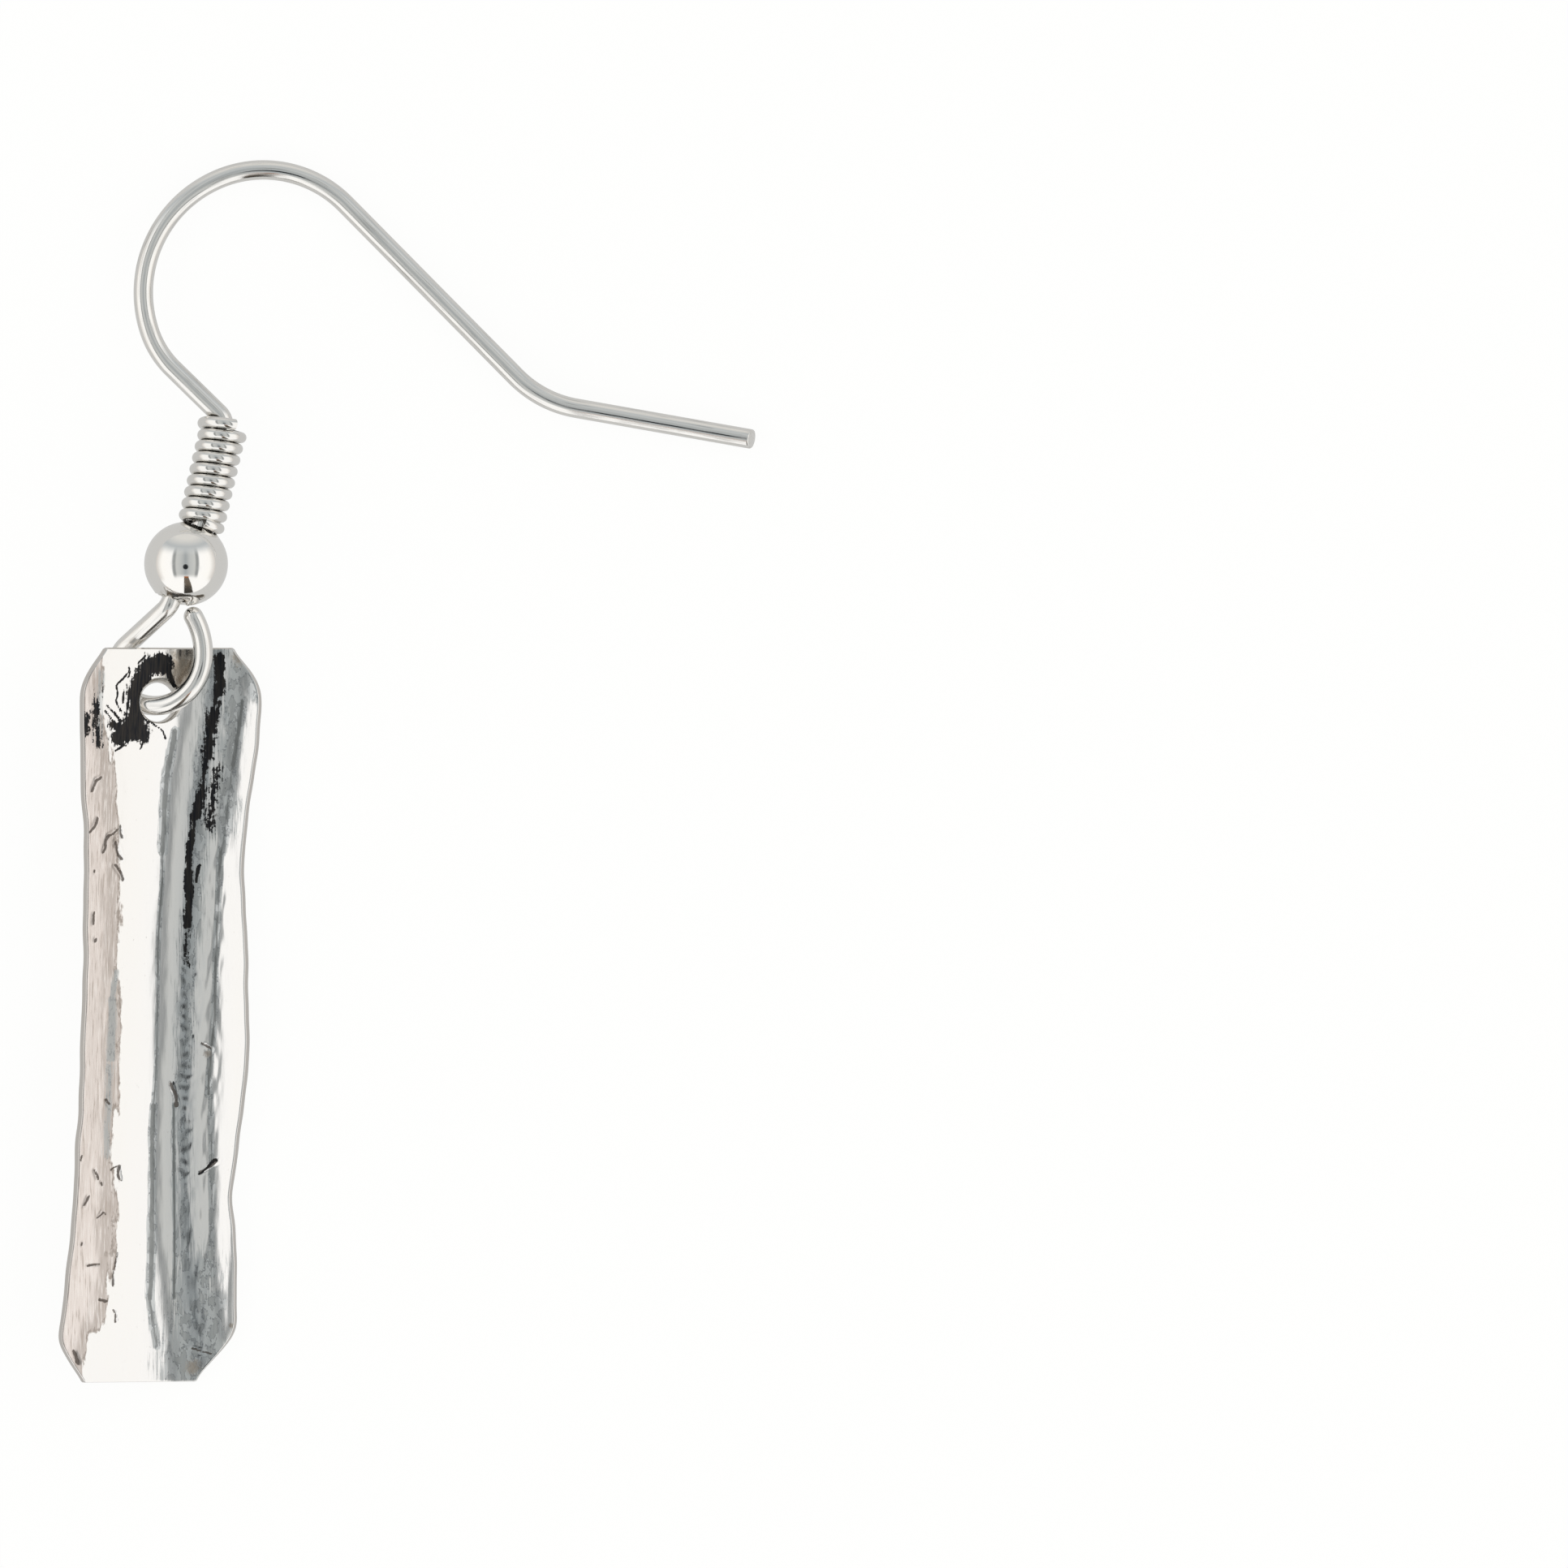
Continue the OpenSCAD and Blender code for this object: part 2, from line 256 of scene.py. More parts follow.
# %% Light table
SEEN_GLOW = 0.92
MIRRORED_GLOW = 0.6
SHEET_TONE = 0.1
SHEET_HALF = 3.0


def light_table():
    material = bpy.data.materials.new("white_diffuser_sheet")
    material.use_nodes = True
    tree = material.node_tree
    tree.nodes.clear()
    seen = add(tree, "ShaderNodeLightPath").outputs["Is Camera Ray"]
    strength = add(tree, "ShaderNodeMix", {0: seen, 2: MIRRORED_GLOW, 3: SEEN_GLOW}).outputs[0]
    glow = add(tree, "ShaderNodeEmission", {"Color": linear("FFFFFE"), "Strength": strength})
    tone = [SHEET_TONE] * 3 + [1.0]
    matt = add(tree, "ShaderNodeBsdfDiffuse", {"Color": tone})
    both = add(tree, "ShaderNodeAddShader", {0: glow.outputs[0], 1: matt.outputs[0]})
    add(tree, "ShaderNodeOutputMaterial", {"Surface": both.outputs[0]})
    mesh = bpy.data.meshes.new("light_table")
    corners = [(x * SHEET_HALF, y * SHEET_HALF, 0) for x, y in ((-1, -1), (1, -1), (1, 1), (-1, 1))]
    mesh.from_pydata(corners, [], [(0, 1, 2, 3)])
    mesh.materials.append(material)
    table = bpy.data.objects.new("light_table", mesh)
    bpy.context.scene.collection.objects.link(table)
    print("light table", 2 * SHEET_HALF, "m square")


light_table()

# %% [markdown]
# A wire former works from a bend table: feed a straight length, turn the wire about itself,
# bend it, and go on. The same table shapes the wire here. Each row moves a frame whose z runs
# along the wire and whose x points to its left, and the CAD solid was made from these rows.

# %% Sizes of the wire, bead and coil in millimetres
WIRE_R = 0.35
BEAD_R = 1.5
BORE_R = 0.65
BORE_EDGE = math.sqrt(BEAD_R ** 2 - BORE_R ** 2)
COIL_WIRE_R = 0.2
COIL_R = 0.64
COIL_PITCH = 0.42
COIL_TURNS = 8.8
COIL_BASE = 0.182
COIL_TUCK = 0.19
COIL_RISE = COIL_TURNS * COIL_PITCH
LOOP_R = 1.5
NIP_R = 0.6
BEND_LEAD = 0.1

# Columns: feed, turn, bend, radius
HOOK_BENDS = [
    (BORE_EDGE - BEND_LEAD, 0, 9, NIP_R),
    (COIL_BASE + COIL_RISE - COIL_TUCK, 0, 58.6, NIP_R),
    (2.3, 0, -27, 3.3),
    (0, 0, -86, 4.45),
    (0, 0, -68, 4.1),
    (8.7, 0, 35.5, 4.0),
    (6.4, 0, 0, 4.0),
]
LOOP_BENDS = [
    (BORE_EDGE + BEND_LEAD, -129, 38.6, NIP_R),
    (1.37 * LOOP_R, 144, 120.5, 0.8 * LOOP_R),
    (0, -12, 114, 1.22 * LOOP_R),
    (0, 30, 28, 1.83 * LOOP_R),
]
BORE_HEADING = 68
DIP_HEADING = 59.5
print("wire", 2 * WIRE_R, "mm thick, with", len(HOOK_BENDS) + len(LOOP_BENDS), "bends and runs")

# %% [markdown]
# Each step along the wire is a frame: where the wire is, which way it runs and which way is
# left. Turning, bending and feeding are each one matrix, and a run of the table multiplies
# them in order. Frames are set close together in a bend, so that the sweep looks smooth.

# %% Helpers that walk along the wire
BEND_STEP = 2.0
FEED_STEP = 0.6


def turn(angle):
    return Matrix.Rotation(math.radians(angle), 4, "Z")


def tilt(angle):
    return Matrix.Rotation(math.radians(angle), 4, "Y")


def slide(x, z):
    return Matrix.Translation((x, 0, z))


def heading(angle):
    return turn(angle) @ Matrix(((0, 0, 1, 0), (1, 0, 0, 0), (0, 1, 0, 0), (0, 0, 0, 1)))


def along_bend(angle, radius):
    a = math.radians(abs(angle))
    side = math.copysign(radius, angle) * (1 - math.cos(a))
    return slide(side, radius * math.sin(a)) @ tilt(angle)


def run(rows, start):
    """The frames along a run of the table, and the frame where each row starts."""
    here, path, row_starts = start.copy(), [start.copy()], []
    for feed, twist, bend, radius in rows:
        here = here @ turn(twist)
        row_starts.append(here.copy())
        feeds = math.ceil(feed / FEED_STEP)
        path += [here @ slide(0, feed * i / feeds) for i in range(1, feeds + 1)]
        here = here @ slide(0, feed)
        count = math.ceil(abs(bend) / BEND_STEP)
        for i in range(1, count + 1):
            path.append(here @ along_bend(bend * i / count, radius))
        if count:
            here = path[-1].copy()
    return path, row_starts


print("a quarter bend of 1 mm radius ends at", [round(v, 2) for v in along_bend(90, 1).translation])

# %% [markdown]
# The hook lies on the table, so it leans about the bead until its far side touches down. The
# bead is held off the table by its own size, and the lean follows from the hook's reach.

# %% Lay the wire down
def lying(heading_angle, lean=0.0):
    lean_way = turn(DIP_HEADING) @ tilt(lean) @ turn(-DIP_HEADING)
    return Matrix.Translation(BEAD_MID) @ lean_way @ heading(heading_angle)


bead_low, bead_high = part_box("bead")
BEAD_MID = (bead_low + bead_high) / 2 / MM
flat_path, _ = run(HOOK_BENDS, lying(BORE_HEADING))
dip = turn(DIP_HEADING).col[0].to_3d()
reach = max((point.translation - BEAD_MID).dot(dip) for point in flat_path)
lean = math.degrees(math.asin((BEAD_R - WIRE_R) / reach))
hook_path, hook_rows = run(HOOK_BENDS, lying(BORE_HEADING, lean))
loop_path, _ = run(LOOP_BENDS, lying(BORE_HEADING + 180, lean))
print("bead at", [round(v, 2) for v in BEAD_MID], "lean", round(lean, 2), "degrees")
print("tail tip at", [round(v, 2) for v in hook_path[-1].translation])

# %% [markdown]
# A sweep along a path is a job for Geometry Nodes: the path is a mesh of points and edges,
# each point says how thick the wire is there, and the tree sets a round section on it. The
# girth falls away at the loop's filed end and only just at the tail's cut, which stays flat.

# %% Helpers for Geometry Nodes
def new_tree(name, sockets):
    tree = bpy.data.node_groups.new(name, "GeometryNodeTree")
    tree.interface.new_socket("Geometry", in_out="OUTPUT", socket_type="NodeSocketGeometry")
    for socket_name, kind in sockets.items():
        tree.interface.new_socket(socket_name, in_out="INPUT", socket_type=kind)
    return tree, add(tree, "NodeGroupInput").outputs


def sweep_out(tree, given, path, section, more=None):
    """Ends a tree: sets a section on a path, makes it real and gives it its material."""
    inputs = {"Curve": path, "Profile Curve": section, "Fill Caps": True}
    sweep = add(tree, "GeometryNodeCurveToMesh", {**inputs, **(more or {})})
    real = add(tree, "GeometryNodeRealizeInstances", {0: sweep.outputs[0]})
    dressed = add(tree, "GeometryNodeSetMaterial", {0: real.outputs[0], "Material": given["Material"]})
    add(tree, "NodeGroupOutput", {"Geometry": dressed.outputs[0]})
    print(tree.name, "with", len(tree.nodes), "nodes")
    return tree


def finished(name, mesh, sharp_angle=40):
    mesh.shade_smooth()
    mesh.set_sharp_from_angle(angle=math.radians(sharp_angle))
    piece = bpy.data.objects.new(name, mesh)
    bpy.context.scene.collection.objects.link(piece)
    print(name, "has", len(mesh.vertices), "points and", len(mesh.polygons), "faces")
    return piece


def grown(name, mesh, tree, values):
    """Runs a tree on a mesh and keeps the result as a plain mesh object."""
    source = bpy.data.objects.new(name + "_source", mesh)
    bpy.context.scene.collection.objects.link(source)
    modifier = source.modifiers.new("grow", "NODES")
    modifier.node_group = tree
    for item in tree.interface.items_tree:
        if item.item_type == "SOCKET" and item.in_out == "INPUT" and item.name in values:
            modifier[item.identifier] = values[item.name]
    source.update_tag()
    evaluated = source.evaluated_get(bpy.context.evaluated_depsgraph_get())
    result = bpy.data.meshes.new_from_object(evaluated)
    bpy.data.objects.remove(source)
    return finished(name, result)


# %% [markdown]
# The wire's tree stores two values on its way, for the finish to follow later: how far along
# the wire a point lies, and where it lies on the round section.

# %% Geometry Nodes: a wire along a path
def wire_tree():
    sockets = {
        "Path": "NodeSocketGeometry",
        "Wire Radius": "NodeSocketFloat",
        "Sides": "NodeSocketInt",
        "Material": "NodeSocketMaterial",
    }
    tree, given = new_tree("wire_along_a_path", sockets)
    line = add(tree, "GeometryNodeMeshToCurve", {"Mesh": given["Path"]})
    girth = add(tree, "GeometryNodeInputNamedAttribute", {"Name": "girth"}, data_type="FLOAT")
    section_inputs = {"Resolution": given["Sides"], "Radius": given["Wire Radius"]}
    section = add(tree, "GeometryNodeCurvePrimitiveCircle", section_inputs)
    length = add(tree, "GeometryNodeSplineParameter").outputs["Length"]
    place = add(tree, "GeometryNodeInputPosition").outputs[0]
    marked = []
    for curve, name, value, kind in (
        (line, "along", length, "FLOAT"),
        (section, "around", place, "FLOAT_VECTOR"),
    ):
        inputs = {"Geometry": curve.outputs[0], "Name": name, "Value": value}
        marked.append(add(tree, "GeometryNodeStoreNamedAttribute", inputs, data_type=kind).outputs[0])
    return sweep_out(tree, given, *marked, {"Scale": girth.outputs[0]})


def path_mesh(name, points, girths):
    mesh = bpy.data.meshes.new(name)
    mesh.from_pydata([list(p * MM) for p in points], [(i, i + 1) for i in range(len(points) - 1)], [])
    girth = mesh.attributes.new("girth", "FLOAT", "POINT")
    girth.data.foreach_set("value", girths)
    return mesh


def add_value(mesh, name, values):
    layer = mesh.attributes.new(name, "FLOAT", "POINT")
    layer.data.foreach_set("value", np.asarray(values, dtype=float).ravel())


# %% [markdown]
# Sterling silver is a shade warmer than chrome and nearly as bright. Wire is drawn through a
# plate, which leaves fine lines along it, and polishing wears them down to a faint streak.
# The streaks run along each wire, so they follow two values that the sweep stores: the length
# run so far, and the place on the round section.

# %% Polished drawn wire
WIRE_TONE = "E9E7E3"
DULL_TONE = "C9C7C3"
WIRE_ROUGH = 0.1
RUBBED_ROUGH = 0.25
# Width and length of the die's lines and of the polisher's streaks, and the lines' depth, in mm
DRAWN_LINES = (0.05, 2.5)
RUBBED_LINES = (0.12, 1.2)
LINE_DEPTH = 0.00045


def silver(name, hex_code, roughness):
    material = bpy.data.materials.new(name)
    material.use_nodes = True
    tree = material.node_tree
    shader = tree.nodes["Principled BSDF"]
    shader.inputs["Base Color"].default_value = linear(hex_code)
    shader.inputs["Metallic"].default_value = 1.0
    shader.inputs["Roughness"].default_value = roughness
    return material, tree, shader


def polished_wire():
    name = "sterling_silver_drawn_and_polished"
    material, tree, shader = silver(name, WIRE_TONE, WIRE_ROUGH)
    along = add(tree, "ShaderNodeAttribute", attribute_name="along").outputs["Fac"]
    around = add(tree, "ShaderNodeAttribute", attribute_name="around").outputs["Vector"]
    x, y, _ = add(tree, "ShaderNodeSeparateXYZ", {0: around}).outputs

    def lines(width, length):
        skin = (("DIVIDE", x, width * MM), ("DIVIDE", y, width * MM), ("DIVIDE", along, length * MM))
        place = add(tree, "ShaderNodeCombineXYZ", {i: formula(tree, part) for i, part in enumerate(skin)})
        inputs = {"Vector": place.outputs[0], "Scale": 1.0, "Detail": 3.0}
        return add(tree, "ShaderNodeTexNoise", inputs).outputs[0]

    drawn, rubbed = lines(*DRAWN_LINES), lines(*RUBBED_LINES)
    bump = add(tree, "ShaderNodeBump", {"Height": drawn, "Strength": 1.0, "Distance": LINE_DEPTH * MM})
    tree.links.new(bump.outputs[0], shader.inputs["Normal"])
    rough = formula(tree, ("EASE", rubbed, 0.4, 0.7, WIRE_ROUGH, RUBBED_ROUGH))
    tree.links.new(rough, shader.inputs["Roughness"])
    dull = ("MULTIPLY", ("EASE", drawn, 0.5, 0.68), ("EASE", rubbed, 0.42, 0.6))
    tree.links.new(painted(tree, linear(WIRE_TONE), [(dull, DULL_TONE)]), shader.inputs["Base Color"])
    print(name, "with", len(tree.nodes), "nodes")
    return material


wire_silver = polished_wire()

# %% [markdown]
# The ear wire is one length of wire. Its loop end was filed round, so the girth follows a
# quarter circle there, and its tail was cut off and lightly rubbed down.

# %% The ear wire
TIP_ANGLES = (87, 80, 70, 58, 45, 30, 15)
CUT_ANGLES = (0, 30, 60, 90)
CUT_ROUND = 0.04
CUT_LEAD = 0.09
WIRE_SIDES = 40


def spot(frame_at, forward=0.0):
    return (frame_at @ slide(0, forward)).translation.copy()


wire_points = [spot(loop_path[-1], WIRE_R * math.sin(math.radians(a))) for a in TIP_ANGLES]
wire_girths = [math.cos(math.radians(a)) for a in TIP_ANGLES]
wire_points += [spot(frame_at) for frame_at in reversed(loop_path)]
wire_points += [spot(frame_at) for frame_at in hook_path[1:-1]]
wire_girths += [1.0] * (len(loop_path) + len(hook_path) - 2)
wire_points.append(spot(hook_path[-1], -CUT_LEAD))
wire_girths.append(1.0)
for angle in CUT_ANGLES:
    a = math.radians(angle)
    wire_points.append(spot(hook_path[-1], -CUT_ROUND * (1 - math.sin(a))))
    wire_girths.append(1 - CUT_ROUND / WIRE_R * (1 - math.cos(a)))

sweep_values = {"Wire Radius": WIRE_R * MM, "Sides": WIRE_SIDES, "Material": wire_silver}
ear_wire = grown("ear_wire", path_mesh("wire_path", wire_points, wire_girths), wire_tree(), sweep_values)

# %% [markdown]
# Side cutters leave the tail's end slightly slanted, so that its face catches light from
# above. The points near the end slide along the wire, the higher ones further back, which
# keeps the wire round and turns only the cut. What lies off the tail's own line stays put.

# %% Snip the tail a little slantwise
SNIP_SLANT = 0.38
SNIP_REACH = 0.6
NEAR_AXIS = 1.0


def points_of(mesh):
    flat = np.empty(len(mesh.vertices) * 3)
    mesh.vertices.foreach_get("co", flat)
    return flat.reshape(-1, 3)


shape = points_of(ear_wire.data) / MM
tail_end = np.array(hook_path[-1].translation)
run_way = np.array(hook_path[-1].to_3x3().col[2])
from_end = (tail_end - shape) @ run_way
off_axis = np.linalg.norm(shape - tail_end + from_end[:, None] * run_way, axis=1)
near_end = np.clip(1 - from_end / SNIP_REACH, 0, 1) * (off_axis < NEAR_AXIS)
shape -= (SNIP_SLANT * near_end * (shape[:, 2] - tail_end[2]))[:, None] * run_way
ear_wire.data.vertices.foreach_set("co", (shape * MM).ravel())
ear_wire.data.update()
print("snipped", int((near_end > 0).sum()), "points of the tail")
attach(ear_wire, "root")
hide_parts("ear_hook")

# %% [markdown]
# The coil is wound from thinner wire on a rod and slid over the ear wire. A spiral in Geometry
# Nodes is that rod's winding: turns, radius and rise are its inputs. The last turn was snipped
# and pushed outwards, and the grooves between the turns get painted shade in the finish.

# %% Geometry Nodes: a wound coil
SPIRAL_STEPS = 72
COIL_SIDES = 20
# Share of the winding where the last turn starts to bulge, and where it has
BULGE_FROM = (0.88, 0.95)


def coil_tree():
    plain = ("Turns", "Radius", "Rise", "Wire Radius", "Bulge", "Reach")
    sockets = {name: "NodeSocketFloat" for name in plain}
    sockets.update({"Bead": "NodeSocketVector", "Material": "NodeSocketMaterial"})
    tree, given = new_tree("wound_coil", sockets)
    spiral_inputs = {
        "Resolution": SPIRAL_STEPS,
        "Rotations": given["Turns"],
        "Start Radius": given["Radius"],
        "End Radius": given["Radius"],
        "Height": given["Rise"],
        "Reverse": True,
    }
    spiral = add(tree, "GeometryNodeCurveSpiral", spiral_inputs)
    factor = add(tree, "GeometryNodeSplineParameter").outputs["Factor"]
    place = add(tree, "GeometryNodeInputPosition").outputs[0]
    flat = add(tree, "ShaderNodeVectorMath", {0: place, 1: (1, 1, 0)}, operation="MULTIPLY")
    out = add(tree, "ShaderNodeVectorMath", {0: flat.outputs[0]}, operation="NORMALIZE")
    push = formula(tree, ("MULTIPLY", ("EASE", factor, *BULGE_FROM), given["Bulge"]))
    offset = add(tree, "ShaderNodeVectorMath", {0: out.outputs[0], "Scale": push}, operation="SCALE")
    pushed_inputs = {"Geometry": spiral.outputs[0], "Offset": offset.outputs[0]}
    pushed = add(tree, "GeometryNodeSetPosition", pushed_inputs)
    from_bead = add(tree, "ShaderNodeVectorMath", {0: place, 1: given["Bead"]}, operation="SUBTRACT")
    x, y, z = add(tree, "ShaderNodeSeparateXYZ", {0: from_bead.outputs[0]}).outputs
    far = ("ADD", ("MULTIPLY", x, x), ("MULTIPLY", y, y))
    seat = ("SQRT", ("SUBTRACT", ("POWER", given["Reach"], 2.0), far))
    short = formula(tree, ("MAXIMUM", ("SUBTRACT", seat, z), 0.0))
    lift = add(tree, "ShaderNodeCombineXYZ", {2: short})
    seated_inputs = {"Geometry": pushed.outputs[0], "Offset": lift.outputs[0]}
    seated = add(tree, "GeometryNodeSetPosition", seated_inputs)
    section_inputs = {"Resolution": COIL_SIDES, "Radius": given["Wire Radius"]}
    section = add(tree, "GeometryNodeCurvePrimitiveCircle", section_inputs)
    return sweep_out(tree, given, seated.outputs[0], section.outputs[0])


# %% [markdown]
# The coil is the same polished silver, with painted shade in the grooves between its turns.
# How deep a point lies is stored on the mesh as a value in millimetres. The painted shade stops
# short of the innermost side of each turn, because the ear wire shines there again.

# %% Coil silver with painted shade in the grooves
COIL_TONE = "E6E4E0"
GROOVE_SHADE_TONE = "4A443D"
COIL_ROUGH = 0.09
GROOVE_ROUGH = 0.5
# Size of a noise cloud and how far it shifts the edge of the painted shade, in millimetres
SHADE_CLOUD_SIZE = 0.4
SHADE_CLOUD_SPREAD = 0.12


def coil_silver():
    material, tree, shader = silver("sterling_silver_wound_wire", COIL_TONE, COIL_ROUGH)
    groove = add(tree, "ShaderNodeAttribute", attribute_name="groove").outputs["Fac"]
    place = add(tree, "ShaderNodeTexCoord").outputs["Object"]
    shade_cloud = {"Vector": place, "Scale": 1 / (SHADE_CLOUD_SIZE * MM), "Detail": 3.0}
    cloud = add(tree, "ShaderNodeTexNoise", shade_cloud).outputs[0]
    depth = ("ADD", groove, ("MULTIPLY", ("SUBTRACT", cloud, 0.5), SHADE_CLOUD_SPREAD))
    # Painted shade: darker where a point lies deep in the groove between two turns.
    dark = formula(tree, ("MULTIPLY", ("EASE", depth, 0.15, 0.22), ("EASE", depth, 0.33, 0.27)))
    shaded_coil_tone = painted(tree, linear(COIL_TONE), [(dark, GROOVE_SHADE_TONE)])
    tree.links.new(shaded_coil_tone, shader.inputs["Base Color"])
    rough = formula(tree, ("EASE", dark, 0.0, 1.0, COIL_ROUGH, GROOVE_ROUGH))
    tree.links.new(rough, shader.inputs["Roughness"])
    print(material.name, "with", len(tree.nodes), "nodes")
    return material


# %% [markdown]
# The winding starts on the bead and climbs the ear wire. Its first stretch is led down until
# it sits on the bead, as the real coil does when the hook hangs. The seed is a single point:
# the spiral needs no mesh of its own, but a tree has to run on something.

# %% Wind the coil
COIL_START = -168
FOOT = 92
COIL_PLAY = 0.02
COIL_BULGE = 0.09
foot_turns = FOOT / 360
coil_from = hook_rows[1] @ slide(0, COIL_BASE - foot_turns * COIL_PITCH) @ turn(COIL_START - FOOT)

seed_mesh = bpy.data.meshes.new("coil_seed")
seed_mesh.from_pydata([(0, 0, 0)], [], [])
coil_values = {
    "Turns": COIL_TURNS + foot_turns,
    "Radius": (COIL_R + COIL_PLAY) * MM,
    "Rise": COIL_RISE * MM + foot_turns * COIL_PITCH * MM,
    "Wire Radius": COIL_WIRE_R * MM,
    "Bulge": COIL_BULGE * MM,
    "Bead": coil_from.inverted() @ BEAD_MID * MM,
    "Reach": (BEAD_R + COIL_WIRE_R) * MM,
    "Material": coil_silver(),
}
coil = grown("wound_coil", seed_mesh, coil_tree(), coil_values)
coil_points = points_of(coil.data) / MM
out = np.hypot(coil_points[:, 0], coil_points[:, 1])
add_value(coil.data, "groove", COIL_R + COIL_PLAY + COIL_WIRE_R - out)
print("coil reaches", round(out.max(), 2), "mm out from the wire's middle")
coil_from.translation *= MM
coil.data.transform(coil_from)
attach(coil, "root")
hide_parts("coil")

# %% [markdown]
# Such a bead is mostly two cups soldered together, with each mouth drawn in round the wire.
# Round work is a profile spun about an axis, so the bead is a lathe: a ball with rounded lips
# at its mouths and a bore. Near the mouths the metal is creased where it was pushed inwards.

# %% The bead's profile
MOUTH_R = 0.52
LIP_R = 0.07
WALL_STEPS = 97
LIP_STEPS = 9
BORE_STEPS = 14


def arc(middle, radius, angles):
    turns = [math.radians(angle) for angle in angles]
    return [(middle[0] + radius * math.cos(a), middle[1] + radius * math.sin(a)) for a in turns]


mouth_r = MOUTH_R + LIP_R
mouth_h = math.sqrt((BEAD_R - LIP_R) ** 2 - mouth_r ** 2)
lip = math.degrees(math.atan2(mouth_h, mouth_r))
bead_profile = arc((0, 0), BEAD_R, np.linspace(-lip, lip, WALL_STEPS))
bead_profile += arc((mouth_r, mouth_h), LIP_R, np.linspace(lip, 180, LIP_STEPS)[1:])
bead_profile += [(MOUTH_R, h) for h in np.linspace(mouth_h, -mouth_h, BORE_STEPS)[1:-1]]
bead_profile += arc((mouth_r, -mouth_h), LIP_R, np.linspace(180, 360 - lip, LIP_STEPS)[:-1])
print("bead mouth", round(2 * MOUTH_R, 2), "mm wide at", round(mouth_h, 2), "mm from the middle")

# %% [markdown]
# The lathe sets the profile at many angles and joins each to the next. The creases are a sum
# of waves round the bead that fades in towards the mouths, so no two of them look alike.

# %% Spin the bead
BEAD_SIDES = 144
CREASE_FROM = 1.27
CREASE_FADE = 0.1
CREASE_DEPTH = 0.011
# Columns: waves round the bead, size, shift
CREASE_WAVES = [(5, 1.0, 0), (11, 0.6, 1), (17, 0.4, 0)]


def creases(spun, angles):
    near_mouth = np.clip((np.abs(spun[..., 2]) - CREASE_FROM) / CREASE_FADE, 0, 1)
    waves = sum(size * np.sin(count * angles + shift) for count, size, shift in CREASE_WAVES)
    return near_mouth * CREASE_DEPTH * waves


def lathe(name, profile, sides, relief):
    """Spins a closed profile of (radius, height) about z, in millimetres."""
    angles = np.arange(sides) * 2 * math.pi / sides
    r, h = np.array(profile).T
    round_x, round_y = np.outer(r, np.cos(angles)), np.outer(r, np.sin(angles))
    spun = np.stack([round_x, round_y, np.outer(h, np.ones(sides))], -1)
    spun *= 1 + relief(spun, angles)[..., None]
    faces = []
    for i in range(len(profile)):
        after = (i + 1) % len(profile)
        for k in range(sides):
            beside = (k + 1) % sides
            corners = ((i, k), (i, beside), (after, beside), (after, k))
            faces.append([ring * sides + side for ring, side in corners])
    mesh = bpy.data.meshes.new(name)
    mesh.from_pydata((spun.reshape(-1, 3) * MM).tolist(), [], faces)
    return mesh


bead_mesh = lathe("bead", bead_profile, BEAD_SIDES, creases)
to_bead = lying(BORE_HEADING, lean)
to_bead.translation *= MM
bead_mesh.transform(to_bead)
bead = finished("round_bead", bead_mesh)

# %% [markdown]
# The bead is the brightest piece, tumbled to a mirror. A mirror with no flaw looks computed,
# so broad shallow dimples bend the reflections a little, and smears of handling take the
# gloss down in places.

# %% Bead silver
BEAD_TONE = "ECEAE6"
BEAD_ROUGH = (0.07, 0.15)
# Sizes in millimetres
DIMPLE_SIZE = 0.909
DIMPLE_DEPTH = 0.0012
SMEAR_SIZE = 0.2857


def bead_silver():
    material, tree, shader = silver("sterling_silver_mirror_polished", BEAD_TONE, BEAD_ROUGH[0])
    place = add(tree, "ShaderNodeTexCoord").outputs["Object"]
    wide = {"Vector": place, "Scale": 1 / (DIMPLE_SIZE * MM), "Detail": 2.0}
    dimples = add(tree, "ShaderNodeTexNoise", wide).outputs[0]
    bump = add(tree, "ShaderNodeBump", {"Height": dimples, "Strength": 1.0, "Distance": DIMPLE_DEPTH * MM})
    tree.links.new(bump.outputs[0], shader.inputs["Normal"])
    small = {"Vector": place, "Scale": 1 / (SMEAR_SIZE * MM), "Detail": 4.0}
    smears = add(tree, "ShaderNodeTexNoise", small).outputs[0]
    tree.links.new(formula(tree, ("EASE", smears, 0.45, 0.75, *BEAD_ROUGH)), shader.inputs["Roughness"])
    print(material.name, "with", len(tree.nodes), "nodes")
    return material


bead.data.materials.append(bead_silver())
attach(bead, "root")
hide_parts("bead")

# %% [markdown]
# The bar was sawn from sheet and hammered into a groove until it became a channel. Its form
# is a rule: at each station down its length, the section falls from the left edge to a
# deepest line and rises again, and both sides run out to a slope. The CAD solid follows the
# same tables. Here the stations stand close together, so that the edges curve smoothly.

# %% Tables of the bar, in shares of its length and width
BAR_L = 26.3
BAR_W = 6.55
BAR_T = 0.3
CHANNEL_R = 3.3
DRIFT = 2.3
HOLE_R = 0.7
HOLE_INSET = 1.95
HOLE_SIDE = -0.4
